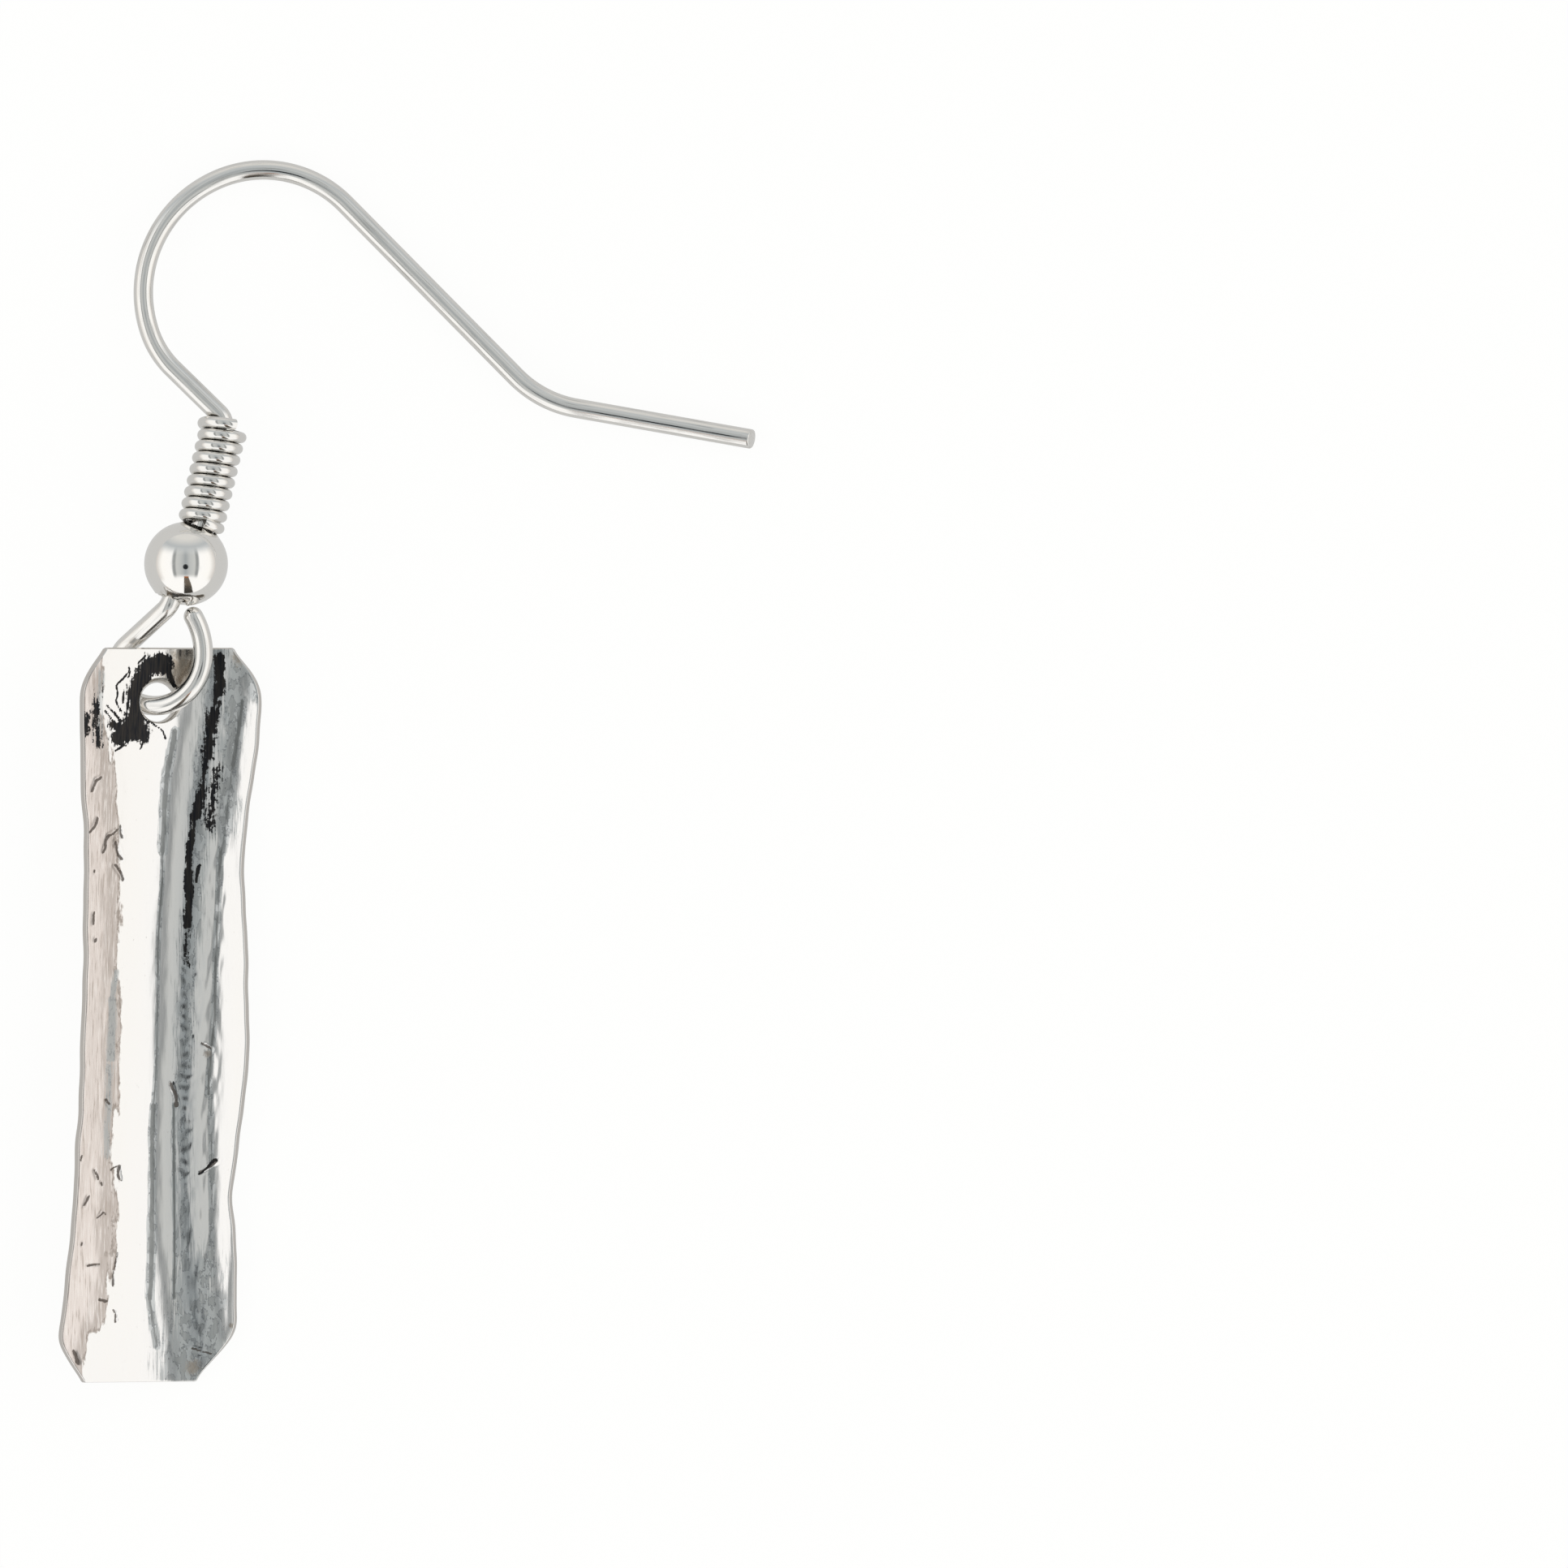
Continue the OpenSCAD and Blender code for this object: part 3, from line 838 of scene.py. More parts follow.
# Columns: along, left edge, right edge
EDGES = np.array([
    (0, 0.345, 0.34),
    (0.013, 0.395, 0.385),
    (0.035, 0.445, 0.46),
    (0.058, 0.474, 0.515),
    (0.08, 0.476, 0.524),
    (0.15, 0.46, 0.507),
    (0.23, 0.435, 0.468),
    (0.28, 0.422, 0.457),
    (0.35, 0.408, 0.482),
    (0.43, 0.398, 0.504),
    (0.52, 0.393, 0.525),
    (0.61, 0.398, 0.519),
    (0.7, 0.405, 0.488),
    (0.745, 0.407, 0.464),
    (0.79, 0.409, 0.49),
    (0.88, 0.427, 0.516),
    (0.922, 0.446, 0.532),
    (0.943, 0.456, 0.495),
    (0.966, 0.408, 0.415),
    (0.988, 0.346, 0.325),
    (1, 0.29, 0.29),
])
# Columns: along, deepest line, slope on the left, slope on the right
HOLLOW = np.array([
    (0, 0.28, 0.85, 0.6),
    (0.08, 0.27, 0.85, 0.7),
    (0.19, 0.21, 1.05, 0.8),
    (0.34, 0.172, 1.2, 0.8),
    (0.5, 0.177, 1.2, 0.8),
    (0.67, 0.19, 1.15, 0.75),
    (0.78, 0.21, 1, 0.7),
    (0.89, 0.28, 0.7, 0.7),
    (1, 0.36, 0.55, 0.6),
])
print("bar", BAR_L, "by", BAR_W, "mm, with", len(EDGES), "rows of edges and", len(HOLLOW), "of hollow")

# %% [markdown]
# The section is one branch of a hyperbola: round at the deepest line and straight further
# out, which is how sheet bends over a round stake. Columns of a table are read between their
# rows with the corners rounded off. The sheet's thickness is laid off square to the section.

# %% Helpers for the bar's form
EDGE_EASE = 0.01
HOLLOW_EASE = 0.04


def eased(table, column, s, width):
    """A column of a table at stations s, with its corners rounded off."""
    spread = np.linspace(-2, 2, 9)
    weights = np.exp(-spread ** 2 / 2)
    values = [np.interp(s + width * d, table[:, 0], table[:, column]) for d in spread]
    return sum(w * value for w, value in zip(weights, values)) / weights.sum()


def middle_x(s):
    return -s * BAR_L * math.tan(math.radians(DRIFT))


def section(s, x):
    """Height of the underside at x, and its slope there."""
    deepest, left_slope, right_slope = [eased(HOLLOW, column, s, HOLLOW_EASE) for column in (1, 2, 3)]
    d = x - middle_x(s) - deepest * BAR_W
    k = np.where(d < 0, left_slope, right_slope)
    root = np.sqrt((k * k * CHANNEL_R) ** 2 + (k * d) ** 2)
    return root - k * k * CHANNEL_R, k * k * d / root


def sheet_point(s, x, lift):
    z, slope = section(s, x)
    leans = np.arctan(slope)
    return np.stack([x - lift * np.sin(leans), -s * BAR_L + 0 * x, z + lift * np.cos(leans)], -1)


bar_low, bar_high = [np.array(corner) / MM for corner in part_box("bar")]
farthest_left = min(middle_x(row[0]) - row[1] * BAR_W for row in EDGES)
BAR_AT = np.array([bar_low[0] - farthest_left, bar_high[1], bar_low[2]])
hole_s = HOLE_INSET / BAR_L
hole_x = middle_x(hole_s) + HOLE_SIDE
hole_mid = sheet_point(hole_s, hole_x, BAR_T / 2)
hole_tilt = -math.degrees(math.atan(section(hole_s, hole_x)[1]))
print("bar's top edge at", BAR_AT.round(3), "and its hole at", (BAR_AT + hole_mid).round(3))

# %% [markdown]
# Use and handwork left marks that the light picks out: shallow lengthwise ripples from the
# hammer and the rolling mill, pits and nicks mostly on the left flank, and a slightly wavy
# sawn edge. They are real relief here, measured off the photograph in millimetres from the
# top edge and from the bar's middle line. Depths are guesses from how dark each mark looks.

# %% Table of pits and nicks
# Columns: along and across where a mark starts, the same where it ends, half width, depth
MARKS = [
    (5.1, -2.5, 4.7, -2.4, 0.09, 0.03),
    (4.7, -2.4, 4.6, -2.2, 0.08, 0.025),
    (6.6, -2.5, 6.1, -2.3, 0.09, 0.025),
    (7.3, -2.05, 6.7, -1.9, 0.08, 0.03),
    (6.7, -1.9, 6.5, -1.6, 0.08, 0.025),
    (6.4, -1.5, 6.8, -1.4, 0.07, 0.03),
    (6.9, -1.65, 7.6, -1.4, 0.09, 0.03),
    (7.8, -1.65, 8.3, -1.3, 0.08, 0.03),
    (9.5, -2.3, 9.9, -2.3, 0.08, 0.03),
    (8.0, -2.3, 8.1, -2.3, 0.07, 0.02),
    (10.4, -2.2, 10.5, -2.2, 0.08, 0.03),
    (16.2, -1.6, 16.4, -1.5, 0.08, 0.03),
    (18.2, -2.35, 18.4, -2.35, 0.07, 0.02),
    (18.7, -1.9, 19.0, -1.8, 0.09, 0.03),
    (19.1, -1.65, 19.2, -1.6, 0.08, 0.03),
    (18.7, -1.3, 18.6, -1.05, 0.07, 0.025),
    (18.6, -1.05, 19.1, -0.95, 0.08, 0.03),
    (20.0, -2.2, 19.65, -2.1, 0.09, 0.03),
    (20.4, -1.7, 20.2, -1.6, 0.08, 0.025),
    (20.2, -1.6, 20.3, -1.45, 0.07, 0.025),
    (21.3, -2.2, 21.4, -2.2, 0.08, 0.03),
    (22.1, -2.0, 22.1, -1.6, 0.08, 0.03),
    (23.3, -1.5, 23.4, -1.3, 0.1, 0.03),
    (21.7, -1.0, 22.2, -1.05, 0.07, 0.02),
    (22.3, -1.1, 22.8, -1.1, 0.07, 0.02),
    (23.7, -1.0, 24.1, -0.9, 0.07, 0.02),
    (25.2, -2.35, 25.6, -2.2, 0.14, 0.03),
    (15.6, 0.7, 16.4, 0.95, 0.1, 0.02),
    (14.2, 1.75, 14.4, 2.1, 0.08, 0.025),
    (18.8, 1.85, 18.4, 2.5, 0.06, 0.03),
    (25.1, 1.8, 25.3, 2.5, 0.08, 0.02),
]
print(len(MARKS), "pits and nicks")

# %% [markdown]
# Hammering leaves long shallow waves, rolling leaves short ones, and a torn patch on the right
# flank is rougher. A sum of waves with random directions and a fixed seed gives such a field
# at any length and width. Chatter, where a scraper skipped, is a row of even ticks.

# %% Relief of the bar's face
# Columns: depth, length, width, seed
HAMMERED = (0.005, 3.0, 0.4, 3)
ROLLED = (0.0016, 0.9, 0.2, 4)
ROUGH = (1, 0.22, 0.07, 5)
CHATTER_SHIFT = (2.2, 0.5, 0.2, 6)
ROUGH_PLAIN = 0.0005
ROUGH_TORN = 0.0022
CHATTER_DEPTH = 0.0028
CHATTER_PITCH = 0.42
# Where the torn patch and the chatter lie: from, to and how softly they end
TORN_ACROSS = (1.5, 2.3, 0.25)
TORN_ALONG = (1.5, 25, 1)
CHATTER_ACROSS = (0.95, 1.5, 0.1)
CHATTER_ALONG = (11.3, 18.6, 1)
# The metal pushed up beside a mark: its share of the mark's depth, where it stands, its width
BURR_SHARE = 0.25
BURR_AT = 1.25
BURR_WIDTH = 0.5
WAVES = 30


def ripples(along, across, field):
    """A smooth random field, about as long and wide as asked, in millimetres."""
    depth, long, wide, seed = field
    rng = np.random.default_rng(seed)
    total = np.zeros(np.broadcast(along, across).shape)
    for _ in range(WAVES):
        down, over, phase = rng.normal(0, 1 / long), rng.normal(0, 1 / wide), rng.uniform(0, 2 * math.pi)
        total += np.cos(down * along + over * across + phase)
    return depth * total / math.sqrt(WAVES / 2)


def from_stroke(along, across, stroke):
    """Distance of each point from a straight stroke."""
    start, end = np.array(stroke[:2]), np.array(stroke[2:4])
    way = end - start
    t = ((along - start[0]) * way[0] + (across - start[1]) * way[1]) / max(way @ way, 1e-9)
    t = np.clip(t, 0, 1)
    return np.hypot(along - start[0] - t * way[0], across - start[1] - t * way[1])


def smooth(values):
    t = np.clip(values, 0, 1)
    return t * t * (3 - 2 * t)


def within(values, low, high, soft):
    """One between low and high, and falling to nothing over the soft distance outside."""
    return smooth((values - low) / soft + 1) * smooth((high - values) / soft + 1)


def face_relief(along, across):
    lift = ripples(along, across, HAMMERED) + ripples(along, across, ROLLED)
    torn = within(across, *TORN_ACROSS) * within(along, *TORN_ALONG)
    lift += (ROUGH_PLAIN + ROUGH_TORN * torn) * ripples(along, across, ROUGH)
    chatter = within(across, *CHATTER_ACROSS) * within(along, *CHATTER_ALONG)
    ticks = np.sin(2 * math.pi * along / CHATTER_PITCH + ripples(along, across, CHATTER_SHIFT))
    lift += CHATTER_DEPTH * chatter * ticks
    for mark in MARKS:
        far = from_stroke(along, across, mark) / mark[4]
        burr = BURR_SHARE * (1 - smooth(np.abs(far - BURR_AT) / BURR_WIDTH))
        lift -= mark[5] * (1 - smooth(far)) - mark[5] * burr
    return lift


print("relief beside the first pit:", np.round(face_relief(np.array([5.1]), np.array([-2.3])), 4), "mm")

# %% [markdown]
# Round the section the points follow one rule: along the underside, up a rounded edge, back
# over the face, and down the other edge. The face has more points than the underside, because
# it carries the marks.

# %% One ring of the bar
TOP_COLUMNS = 120
LOW_COLUMNS = 36
CORNER = 0.05
CORNER_ANGLES = np.radians([22.5, 45, 67.5])


def ring_rule():
    """For each point round a section: share across, inset from the edge, and height in the sheet."""
    low = [(f, CORNER * (1 - 2 * f), 0.0) for f in np.linspace(0, 1, LOW_COLUMNS + 1)]
    right = [(1.0, -CORNER * (1 - math.sin(a)), CORNER * (1 - math.cos(a))) for a in CORNER_ANGLES]
    right += [(1.0, 0.0, CORNER), (1.0, 0.0, BAR_T - CORNER)]
    right += [(1.0, -CORNER * (1 - math.cos(a)), BAR_T - CORNER * (1 - math.sin(a))) for a in CORNER_ANGLES]
    top = [(f, CORNER * (1 - 2 * f), BAR_T) for f in np.linspace(1, 0, TOP_COLUMNS + 1)]
    left = [(1 - f, -inset, BAR_T - lift) for f, inset, lift in right]
    return np.array(low + right + top + left).T


print("a ring has", ring_rule().shape[1], "points")

# %% [markdown]
# The rings stand close together down the bar, so that a pit a tenth of a millimetre wide still
# gets a few points. The sawn edges waver a little, and the ends are rounded like the sides.

# %% Build the bar station by station
STATION_STEP = 0.055
# Columns: depth, length, width, seed
LEFT_WAVER = (0.02, 0.6, 1, 8)
RIGHT_WAVER = (0.02, 0.5, 1, 9)
FACE_FROM = 0.8
EDGE_FADE = 0.25


def bar_mesh():
    share, inset, lift = ring_rule()
    stations = np.append(np.arange(0, BAR_L, STATION_STEP), BAR_L)
    s = stations[:, None] / BAR_L
    left = middle_x(s) - eased(EDGES, 1, s, EDGE_EASE) * BAR_W
    right = middle_x(s) + eased(EDGES, 2, s, EDGE_EASE) * BAR_W
    left -= ripples(stations[:, None], 0, LEFT_WAVER)
    right += ripples(stations[:, None], 0, RIGHT_WAVER)
    to_end = np.minimum(stations, BAR_L - stations)[:, None]
    tuck = CORNER * (1 - np.sqrt(1 - (1 - np.clip(to_end / CORNER, 0, 1)) ** 2))
    x = left + tuck + (right - left - 2 * tuck) * share + inset
    height = np.clip(lift + 0 * x, tuck, BAR_T - tuck)
    points = sheet_point(s + 0 * x, x, height)
    on_top = smooth((height - BAR_T * FACE_FROM) / (BAR_T * (1 - FACE_FROM)))
    off_edge = smooth(np.minimum(x - left, right - x) / EDGE_FADE)
    along, across = -points[..., 1], points[..., 0] - middle_x(s)
    relief = face_relief(along, across) * on_top * off_edge
    slope = np.arctan(section(s + 0 * x, x)[1])
    points[..., 0] -= relief * np.sin(slope)
    points[..., 2] += relief * np.cos(slope)
    count, ring = points.shape[:2]
    points = (points + BAR_AT) * MM
    j, i = np.meshgrid(np.arange(count - 1), np.arange(ring), indexing="ij")
    a, b = j * ring + i, j * ring + (i + 1) % ring
    walls = np.stack([a, a + ring, b + ring, b], -1).reshape(-1, 4).tolist()
    ends = [list(range(ring)), list(range(count * ring - 1, (count - 1) * ring - 1, -1))]
    mesh = bpy.data.meshes.new("bar_sheet")
    mesh.from_pydata(points.reshape(-1, 3).tolist(), [], walls + ends)
    print("bar sheet:", count, "stations of", ring, "points")
    return mesh


# %% [markdown]
# The hole is cut with an exact boolean, as a punch would do it. The punch flares above the
# face, which leaves the light ring that the photograph shows round the hole, and it reaches
# below the sheet so that the cut goes right through.

# %% Punch the hole
# Columns: how much wider than the hole, height over the face
PUNCH = [
    (0, -1.15),
    (0, -0.15),
    (0.03, -0.09),
    (0.1, -0.03),
    (0.2, 0.05),
    (0.35, 0.2),
]
PUNCH_SIDES = 96
BAR_SHARP = 35


def hole_cutter():
    angles = np.arange(PUNCH_SIDES) * 2 * math.pi / PUNCH_SIDES
    points = []
    for wider, over in PUNCH:
        r, h = HOLE_R + wider, BAR_T / 2 + over
        points += [(r * math.cos(a) * MM, r * math.sin(a) * MM, h * MM) for a in angles]
    faces, last_ring = [], len(points) - PUNCH_SIDES
    for ring in range(0, last_ring, PUNCH_SIDES):
        for k in range(PUNCH_SIDES):
            a, b = ring + k, ring + (k + 1) % PUNCH_SIDES
            faces.append((a, b, b + PUNCH_SIDES, a + PUNCH_SIDES))
    faces += [tuple(range(PUNCH_SIDES - 1, -1, -1)), tuple(range(last_ring, len(points)))]
    mesh = bpy.data.meshes.new("punch")
    mesh.from_pydata(points, [], faces)
    place = Matrix.Translation(BAR_AT + hole_mid) @ tilt(hole_tilt)
    place.translation *= MM
    mesh.transform(place)
    return mesh


punch = bpy.data.objects.new("punch", hole_cutter())
bpy.context.scene.collection.objects.link(punch)
sheet = bpy.data.objects.new("bar_sheet", bar_mesh())
bpy.context.scene.collection.objects.link(sheet)
cut = sheet.modifiers.new("hole", "BOOLEAN")
cut.operation = "DIFFERENCE"
cut.object = punch
cut.solver = "EXACT"
punched = bpy.data.meshes.new_from_object(sheet.evaluated_get(bpy.context.evaluated_depsgraph_get()))
bpy.data.objects.remove(sheet)
bpy.data.objects.remove(punch)
bar = finished("hammered_bar", punched, BAR_SHARP)

# %% [markdown]
# The bar was oxidised dark and wiped back. What is left lies where a cloth doesn't reach: black
# round the hole and in one nick. The other strokes are painted reflections: a thin black core down
# the valley is the lens mirrored, grey bands down the valley and along both flanks' borders are the
# room's grey zones mirrored, and the warm tone of the left flank is the warm floor mirrored. Each
# stroke below is given in millimetres with how dark it is, and a streaky noise frays its edges in the
# shader.

# %% Where the patina stays, and where the lens's reflection is painted
# Columns: along and across where a stroke starts, the same where it ends, half width, depth
PATINA_AND_LENS_REFLECTION = [
    (0.62, -0.68, 0.6, -0.2, 0.36, 1),
    (0.84, -0.04, 1.5, 0.19, 0.12, 1),
    (0.85, -0.85, 1.5, -1.12, 0.3, 1),
    (1.5, -1.12, 2.5, -1.08, 0.3, 1),
    (2.5, -1.15, 3.1, -0.85, 0.34, 1),
    (2.9, -1.15, 3.1, -1.6, 0.38, 1),
    (3.25, -1.3, 3.1, -0.85, 0.26, 1),
    (2.75, -1.95, 2.85, -1.6, 0.18, 0.85),
    (2.4, -2.85, 3.1, -2.8, 0.2, 0.75),
    (2.3, -2.55, 3.5, -2.35, 0.26, 0.6),
    (1.9, -2.55, 2.4, -2.5, 0.12, 0.7),
    (0.8, -2.33, 1.9, -2.3, 0.05, 0.6),
    (1.2, -2.58, 2.0, -2.62, 0.05, 0.58),
    # These rows, down to the one at 10 mm, are not patina: they paint the lens's dark reflection along the
    # valley's deepest line.
    (0.35, 1.78, 1.1, 1.86, 0.21, 1),
    (1.1, 1.86, 1.6, 1.81, 0.19, 1),
    (1.5, 1.72, 2.1, 1.7, 0.11, 0.8),
    (2.0, 1.85, 2.6, 1.74, 0.1, 0.72),
    (2.4, 1.64, 3.8, 1.5, 0.28, 0.78),
    (4.0, 1.46, 5.1, 1.38, 0.2, 0.64),
    (4.3, 1.85, 6.3, 1.7, 0.4, 0.6),
    (5.1, 1.38, 6.0, 1.2, 0.22, 0.85),
    (6.0, 1.15, 7.2, 1.04, 0.12, 0.8),
    (7.05, 1.05, 9.95, 1.03, 0.15, 1),
    (7.8, 1.35, 8.35, 1.3, 0.05, 1),
    (10.0, 1.08, 11.4, 1.1, 0.18, 0.6),
    # This last row is patina in a nick.
    (18.75, 1.85, 18.45, 2.35, 0.06, 0.85),
]
# Columns: the same, for single hairs of patina that the cloth dragged out of the black
HAIRS = [
    (0.9, -1.5, 1.3, -1.75, 0.035, 1),
    (1.3, -1.75, 1.9, -1.8, 0.035, 1),
    (1.9, -1.8, 2.3, -1.6, 0.035, 1),
    (0.5, -1.1, 0.3, -0.85, 0.035, 1),
    (0.7, -1.35, 1.0, -1.4, 0.04, 1),
    (1.6, -1.6, 2.0, -1.5, 0.035, 1),
    (2.1, -2.1, 2.6, -1.6, 0.04, 1),
    (2.3, -2.2, 2.7, -1.8, 0.035, 1),
    (3.2, -1.9, 3.5, -1.4, 0.04, 1),
    (3.5, -1.5, 3.7, -1.75, 0.035, 1),
    (3.3, -0.75, 3.6, -0.9, 0.035, 1),
    (2.7, -0.65, 2.5, -0.3, 0.035, 1),
    (2.6, -0.6, 2.9, -0.2, 0.03, 1),
    (2.9, -0.2, 3.2, 0.0, 0.03, 1),
]
# Columns: the same, for painted reflections of the room's grey bands down the valley and along the borders
# of both flanks
PAINTED_REFLECTION_BANDS = [
    (0.2, 1.75, 4.0, 1.45, 0.5, 0.75),
    (4.0, 1.4, 12.0, 1.1, 0.4, 0.85),
    (12.0, 1.1, 16.3, 1.1, 0.36, 0.8),
    (16.3, 1.15, 23.3, 1.45, 0.4, 0.7),
    (3.0, 0.36, 4.4, 0.16, 0.12, 1.9),
    (4.4, 0.16, 7.3, 0.02, 0.13, 1.8),
    (7.3, 0.0, 11.7, 0.06, 0.07, 1.6),
    (11.7, 0.06, 16.4, 0.12, 0.06, 1.5),
    (16.4, 0.12, 20.4, 0.19, 0.1, 1.9),
    (20.4, 0.19, 23.3, 0.3, 0.12, 1.8),
    (23.3, 0.3, 25.0, 0.62, 0.12, 1.4),
    (16.35, 0.83, 23.3, 1.11, 0.045, 2.0),
    (0.2, 2.7, 1.6, 3.2, 0.34, 1.0),
    (0.8, 2.5, 6.5, 2.15, 0.5, 0.8),
    (1.9, 2.75, 4.2, 2.5, 0.16, 1.5),
    (4.2, 2.5, 7.3, 2.15, 0.14, 1.3),
    (7.3, 2.1, 13.0, 2.15, 0.1, 1.5),
    (13.0, 2.15, 16.0, 2.1, 0.11, 1.5),
    (16.0, 2.2, 22.5, 2.4, 0.1, 1.2),
    (22.4, 1.9, 25.9, 1.5, 0.9, 0.85),
    (23.4, 2.6, 25.2, 2.5, 0.4, 1.1),
    (0.9, -2.4, 3.2, -2.35, 0.16, 0.7),
    (11.6, -1.42, 12.6, -1.58, 0.1, 0.9),
    (12.6, -1.58, 14.7, -1.52, 0.13, 1.1),
    (15.0, -1.55, 18.2, -1.5, 0.17, 0.72),
]
print(len(PATINA_AND_LENS_REFLECTION), "strokes of patina,", len(HAIRS), "hairs and", len(PAINTED_REFLECTION_BANDS), "of film")

# %% [markdown]
# Two more marks are not strokes: round stains, brown or coppery, and the painted reflection of
# the warm floor that covers the left flank as far as a wavering line.

# %% Stains and the edge of the painted warm reflection
# Columns: along, across, radius
STAINS = [
    (0.8, 0.35, 0.75),
    (14.55, 1.95, 0.14),
    (24.3, 3.2, 0.12),
    (25.8, 1.9, 0.3),
    (0.3, 2.6, 0.35),
]
# Columns: along, across where the painted reflection of the warm floor on the left flank ends
WARM_REFLECTION_EDGE = np.array([
    (0.0, -2.3),
    (2.1, -2.25),
    (3.55, -2.0),
    (5.0, -1.75),
    (7.0, -1.45),
    (10.0, -1.36),
    (12.9, -1.28),
    (14.6, -1.23),
    (19.8, -1.2),
    (23.3, -1.12),
    (24.0, -1.4),
    (24.6, -1.75),
    (26.0, -2.0),
])
print(len(STAINS), "stains, and a film edge of", len(WARM_REFLECTION_EDGE), "points")

# %% [markdown]
# Each table becomes one value on the bar's points, which the finish reads by name. Strokes
# drawn with a ruler would look false, so the points wander a little before their distance
# from a stroke is measured. All of it is kept off the underside and the sawn edges.

# %% Store the marks on the bar
# Columns: how far the points wander, length, width, seed
PATINA_AND_LENS_ALONG = (0.05, 0.25, 0.2, 12)
PATINA_AND_LENS_ACROSS = (0.035, 0.3, 0.2, 11)
HAIR_ALONG = (0.03, 0.2, 0.2, 21)
HAIR_ACROSS = (0.03, 0.2, 0.2, 22)
PAINTED_REFLECTION_ACROSS = (0.03, 1.5, 0.6, 13)
PIT_WIDTH = 0.7
PIT_TONE = 0.86
WARM_REFLECTION_OFF = -0.3
# How squarely a point faces away from the sheet: where the face begins, where the sawn edge ends
FACE_FROM_TURN = 0.6
EDGE_TO_TURN = 0.35
TURN_FADE = 0.3


def strokes(along, across, rows):
    """How deep each point lies in the strokes: 0.5 at a stroke's edge, up to 1 in its middle."""
    return np.max([row[5] * (1 - from_stroke(along, across, row) / (2 * row[4])) for row in rows], axis=0)


bar_points = points_of(bar.data) / MM - BAR_AT
along = -bar_points[:, 1]
s = along / BAR_L
across = bar_points[:, 0] - middle_x(s)
normals = np.empty(len(bar.data.vertices) * 3)
bar.data.vertices.foreach_get("normal", normals)
normals = normals.reshape(-1, 3)
slope = section(s, bar_points[:, 0])[1]
upright = (normals[:, 2] - slope * normals[:, 0]) / np.hypot(1, slope)
on_face = smooth((upright - FACE_FROM_TURN) / TURN_FADE)
for_patina_and_lens = along + ripples(along, across, PATINA_AND_LENS_ALONG), across + ripples(along, across, PATINA_AND_LENS_ACROSS)
for_hairs = along + ripples(along, across, HAIR_ALONG), across + ripples(along, across, HAIR_ACROSS)
for_painted_reflection = along, across + ripples(along, across, PAINTED_REFLECTION_ACROSS)
pit_rows = [mark[:4] + (mark[4] * PIT_WIDTH, PIT_TONE) for mark in MARKS]
patina_and_lens_reflection = np.maximum(strokes(*for_patina_and_lens, PATINA_AND_LENS_REFLECTION), strokes(*for_hairs, HAIRS))
stain = np.max([1 - np.hypot(along - a, across - c) / (2 * r) for a, c, r in STAINS], axis=0)
past_warm_reflection_edge = np.interp(along, WARM_REFLECTION_EDGE[:, 0], WARM_REFLECTION_EDGE[:, 1]) - across - WARM_REFLECTION_OFF
# Besides patina, pits and stains, these values place painted reflections: the lens's dark core down the
# valley, the room's grey bands, and the warm floor on the left flank.
values = {
    "patina_and_lens_reflection": patina_and_lens_reflection * on_face,
    "pit": strokes(*for_hairs, pit_rows) * on_face,
    "painted_reflection": strokes(*for_painted_reflection, PAINTED_REFLECTION_BANDS) * on_face,
    "into_warm_reflection": past_warm_reflection_edge * on_face + WARM_REFLECTION_OFF,
    "stain": stain * on_face,
    "sawn": 1 - smooth((np.abs(upright) - EDGE_TO_TURN) / TURN_FADE),
}
for name, value in values.items():
    add_value(bar.data, name, np.clip(value, -3, 3))
    print(name, "from", round(value.min(), 2), "to", round(value.max(), 2))

# %% [markdown]
# Oxidised silver is black sulphide under a polished skin: where the cloth reached, it shows
# bright metal, then brown and black towards what it missed. The stored marks say where that is,
# and where reflections are painted into the colour: the lens down the valley, the room's grey
# bands and the warm floor on the left flank. Noise stretched along the bar frays them, because
# the cloth went that way. The coats go on from bare silver to black, and what is dark is also
# duller. Each size is the width and length of a streak in millimetres.

# %% Wiped silver of the bar, with painted reflections
# Columns: width and length of a streak, detail, roughness, turn
STREAKS = {
    "broad": (0.25, 1.6, 3.0, 0.55, 0.0),
    "fine": (0.06, 0.9, 3.0, 0.55, 0.0),
    "grain": (0.12, 0.25, 4.0, 0.7, 0.0),
    "patches": (0.5, 1.8, 4.0, 0.6, 0.0),
    "mottle": (0.09, 0.13, 4.0, 0.75, 0.0),
    "frayed": (0.16, 0.16, 5.0, 0.7, 0.7),
    "islands": (0.3, 0.55, 4.0, 0.6, 0.3),
}
# Columns: streak, height
BUMPS = [("broad", 0.002), ("grain", 0.0007), ("fine", 0.0005)]
BARE_TONE = "E9E7E4"
BLACK_TONES = ("3B3835", "24262A")
BAR_ROUGH = (0.09, 0.16)
BLACK_ROUGH = 0.42


def streaks_of(tree, place):
    made = {}
    for name, (wide, long, detail, rough, way) in STREAKS.items():
        scale = (1 / (wide * MM), 1 / (long * MM), 1 / (wide * MM))
        turned = {"Vector": place, "Scale": scale, "Rotation": (0.5 * way, 0.3 * way, way)}
        stretched = add(tree, "ShaderNodeMapping", turned).outputs[0]
        inputs = {"Vector": stretched, "Scale": 1.0, "Detail": detail, "Roughness": rough}
        made[name] = add(tree, "ShaderNodeTexNoise", inputs).outputs[0]
    return made


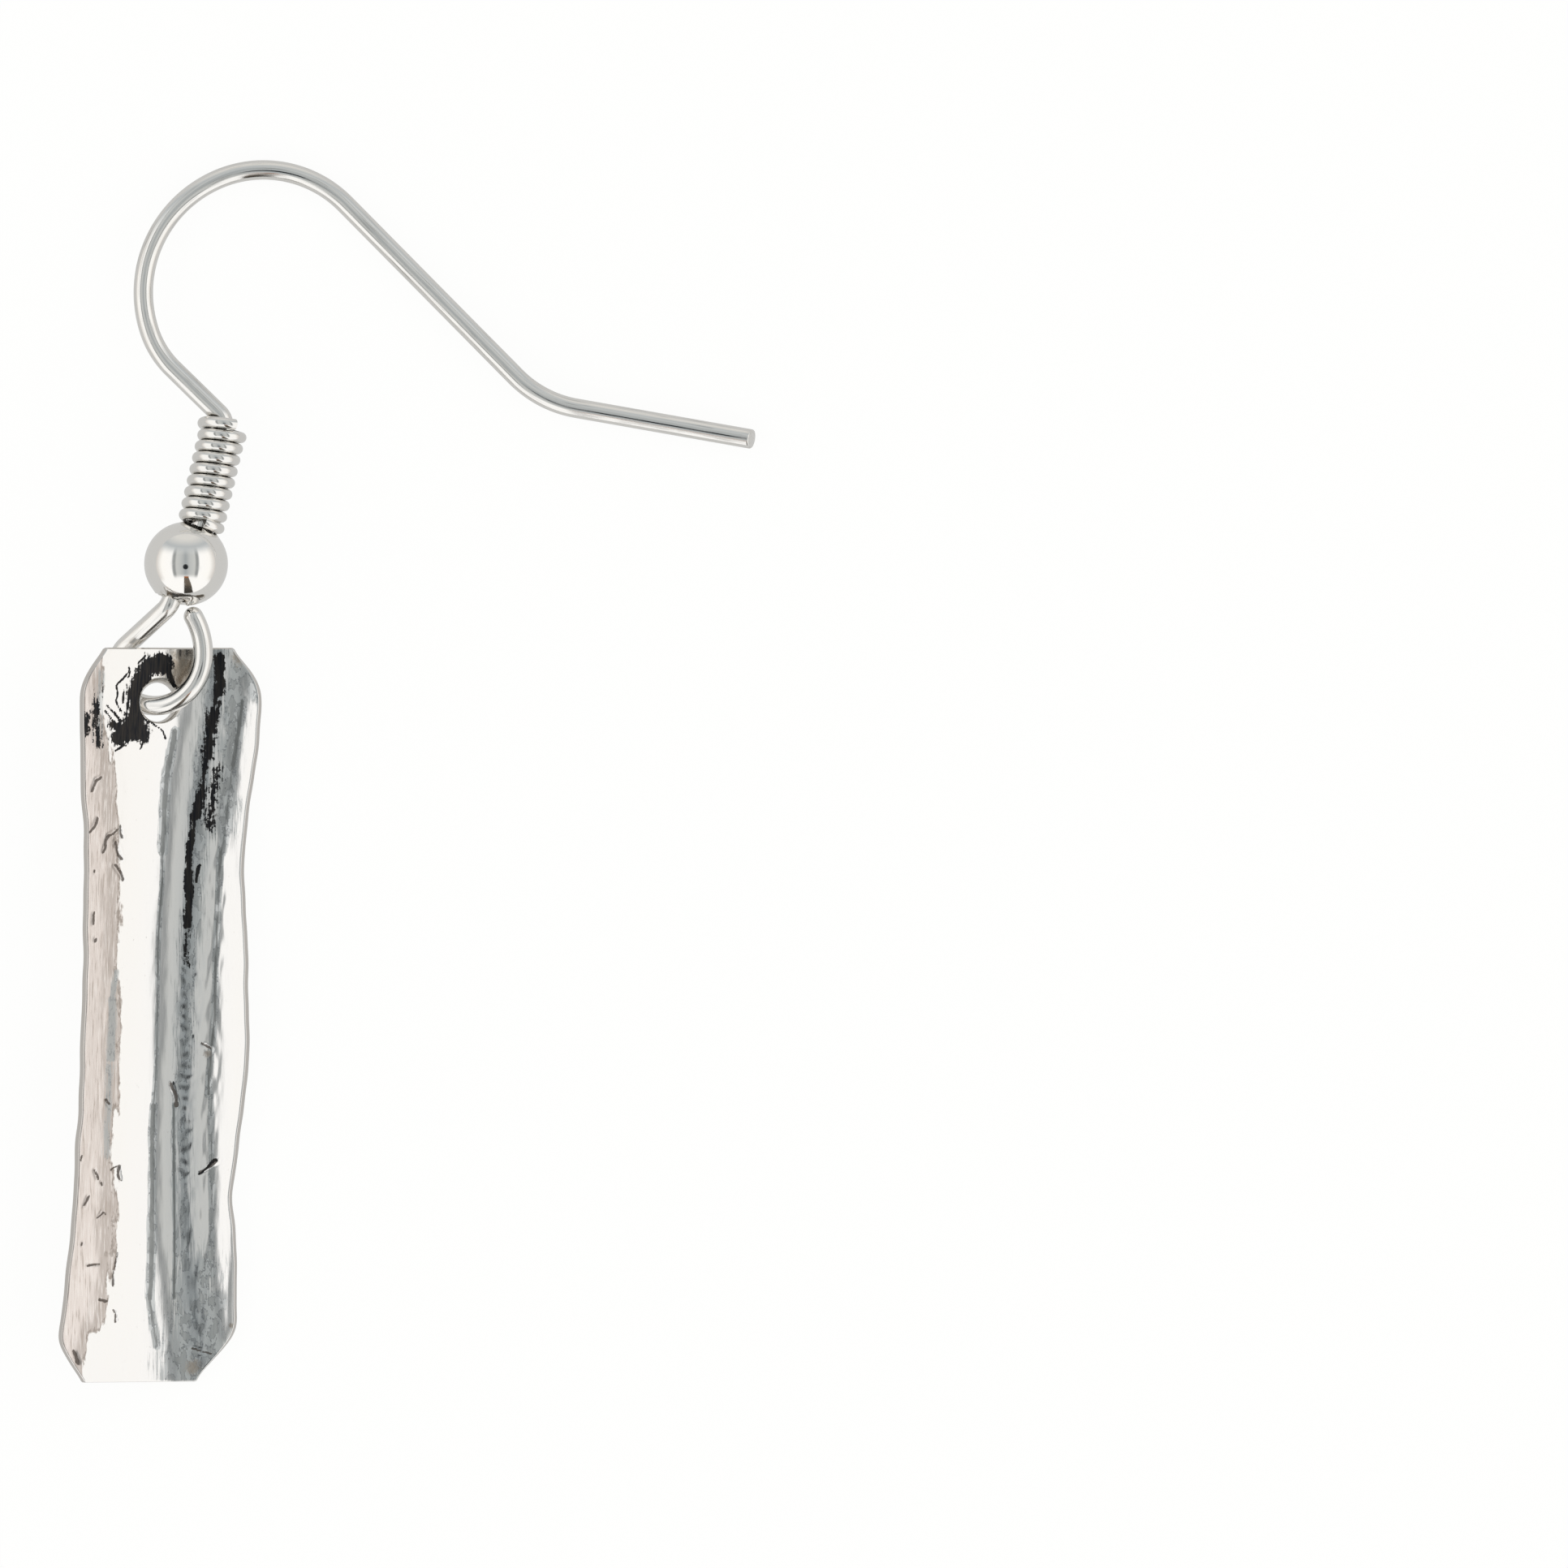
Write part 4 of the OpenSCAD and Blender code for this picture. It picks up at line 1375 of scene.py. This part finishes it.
def bar_silver():
    material, tree, shader = silver("sterling_silver_oxidised_with_painted_reflections", BARE_TONE, BAR_ROUGH[0])
    streaks = streaks_of(tree, add(tree, "ShaderNodeTexCoord").outputs["Object"])
    broad, fine, grain, patches, mottle, frayed, islands = streaks.values()

    def frayed_by(name, noise, amount):
        mark = add(tree, "ShaderNodeAttribute", attribute_name=name).outputs["Fac"]
        return "ADD", mark, ("MULTIPLY", ("SUBTRACT", noise, 0.5), amount)

    def line(value, centre, half, soft):
        return "EASE", ("ABSOLUTE", ("SUBTRACT", value, centre)), half + soft, half

    # One dark mask holds the black patina round the hole and the painted reflection of the lens down the
    # valley.
    oxide_and_lens_reflection = ("ADD", frayed_by("patina_and_lens_reflection", frayed, 0.9), ("MULTIPLY", ("SUBTRACT", fine, 0.5), 0.7))
    dark = formula(tree, ("EASE", oxide_and_lens_reflection, 0.45, 0.53))
    pitted = ("ADD", frayed_by("pit", mottle, 0.6), ("MULTIPLY", grain, 0.4))
    pit = formula(tree, ("EASE", pitted, 0.66, 0.8))
    # Masks of the painted reflections: the warm floor on the left flank, and the room's grey bands.
    into_warm_reflection = formula(tree, frayed_by("into_warm_reflection", patches, 1.1))
    warm_reflection = formula(tree, ("EASE", into_warm_reflection, -0.04, 0.06))
    painted_reflection = formula(tree, frayed_by("painted_reflection", fine, 1.1))
    grey = formula(tree, ("EASE", painted_reflection, 0.35, 0.7))
    cool = ("MULTIPLY", grey, ("SUBTRACT", 1.0, warm_reflection))
    sawn = add(tree, "ShaderNodeAttribute", attribute_name="sawn").outputs["Fac"]
    # Columns: where, how strongly, tone
    coats = [
        # The first five coats paint the warm floor's reflection on the left flank.
        (warm_reflection, 1.0, "DAD1CB"),
        (("MULTIPLY", warm_reflection, ("EASE", frayed_by("into_warm_reflection", broad, 1.2), 0.75, 0.3)), 0.75, "AFA69F"),
        (("MULTIPLY", warm_reflection, ("EASE", fine, 0.5, 0.66)), 0.6, "EBE5E0"),
        (("MULTIPLY", warm_reflection, ("EASE", fine, 0.44, 0.34)), 0.6, "A69B92"),
        (("MULTIPLY", line(into_warm_reflection, 0.03, 0.02, 0.05), ("EASE", grain, 0.42, 0.55)), 0.7, "857B72"),
        # The next four coats paint the room's grey bands, mirrored down the valley and along the flanks'
        # borders.
        (grey, 0.85, "A6A9A8"),
        (("MULTIPLY", cool, ("EASE", islands, 0.47, 0.5)), 0.8, "CBCDCC"),
        (("MULTIPLY", grey, line(islands, 0.485, 0.006, 0.014)), 0.6, "6E7175"),
        (("EASE", painted_reflection, 1.05, 1.35), 0.85, "7E807E"),
        # The rest are the metal's own specks, stains, sawn edges and pits.
        (("EASE", mottle, 0.66, 0.72), 0.5, "8A8075"),
        (("EASE", frayed_by("stain", mottle, 1.2), 0.35, 0.85), 0.75, "AEA192"),
        (sawn, 0.4, "A89C90"),
        (pit, 0.85, "554C45"),
    ]
    masks = [(("MULTIPLY", where, strongly), tone) for where, strongly, tone in coats]
    # This black serves both the patina and the lens's painted reflection.
    black = painted(tree, linear(BLACK_TONES[0]), [(("EASE", fine, 0.3, 0.7), BLACK_TONES[1])])
    tone = painted(tree, linear(BARE_TONE), masks + [(dark, black)])
    tree.links.new(tone, shader.inputs["Base Color"])

    satin = ("ADD", ("EASE", fine, 0.35, 0.75, *BAR_ROUGH), ("MULTIPLY", warm_reflection, 0.12))
    rough = formula(tree, ("ADD", satin, ("MULTIPLY", grey, 0.08)))
    dull = formula(tree, ("MAXIMUM", dark, pit))
    rougher = add(tree, "ShaderNodeMix", {0: dull, 2: rough, 3: BLACK_ROUGH})
    tree.links.new(rougher.outputs[0], shader.inputs["Roughness"])

    under = {}
    for name, height in BUMPS:
        inputs = {"Height": streaks[name], "Strength": 1.0, "Distance": height * MM, **under}
        under = {"Normal": add(tree, "ShaderNodeBump", inputs).outputs[0]}
    tree.links.new(under["Normal"], shader.inputs["Normal"])
    print(material.name, "with", len(tree.nodes), "nodes")
    return material


bar.data.materials.clear()
bar.data.materials.append(bar_silver())
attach(bar, "root")
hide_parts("bar")
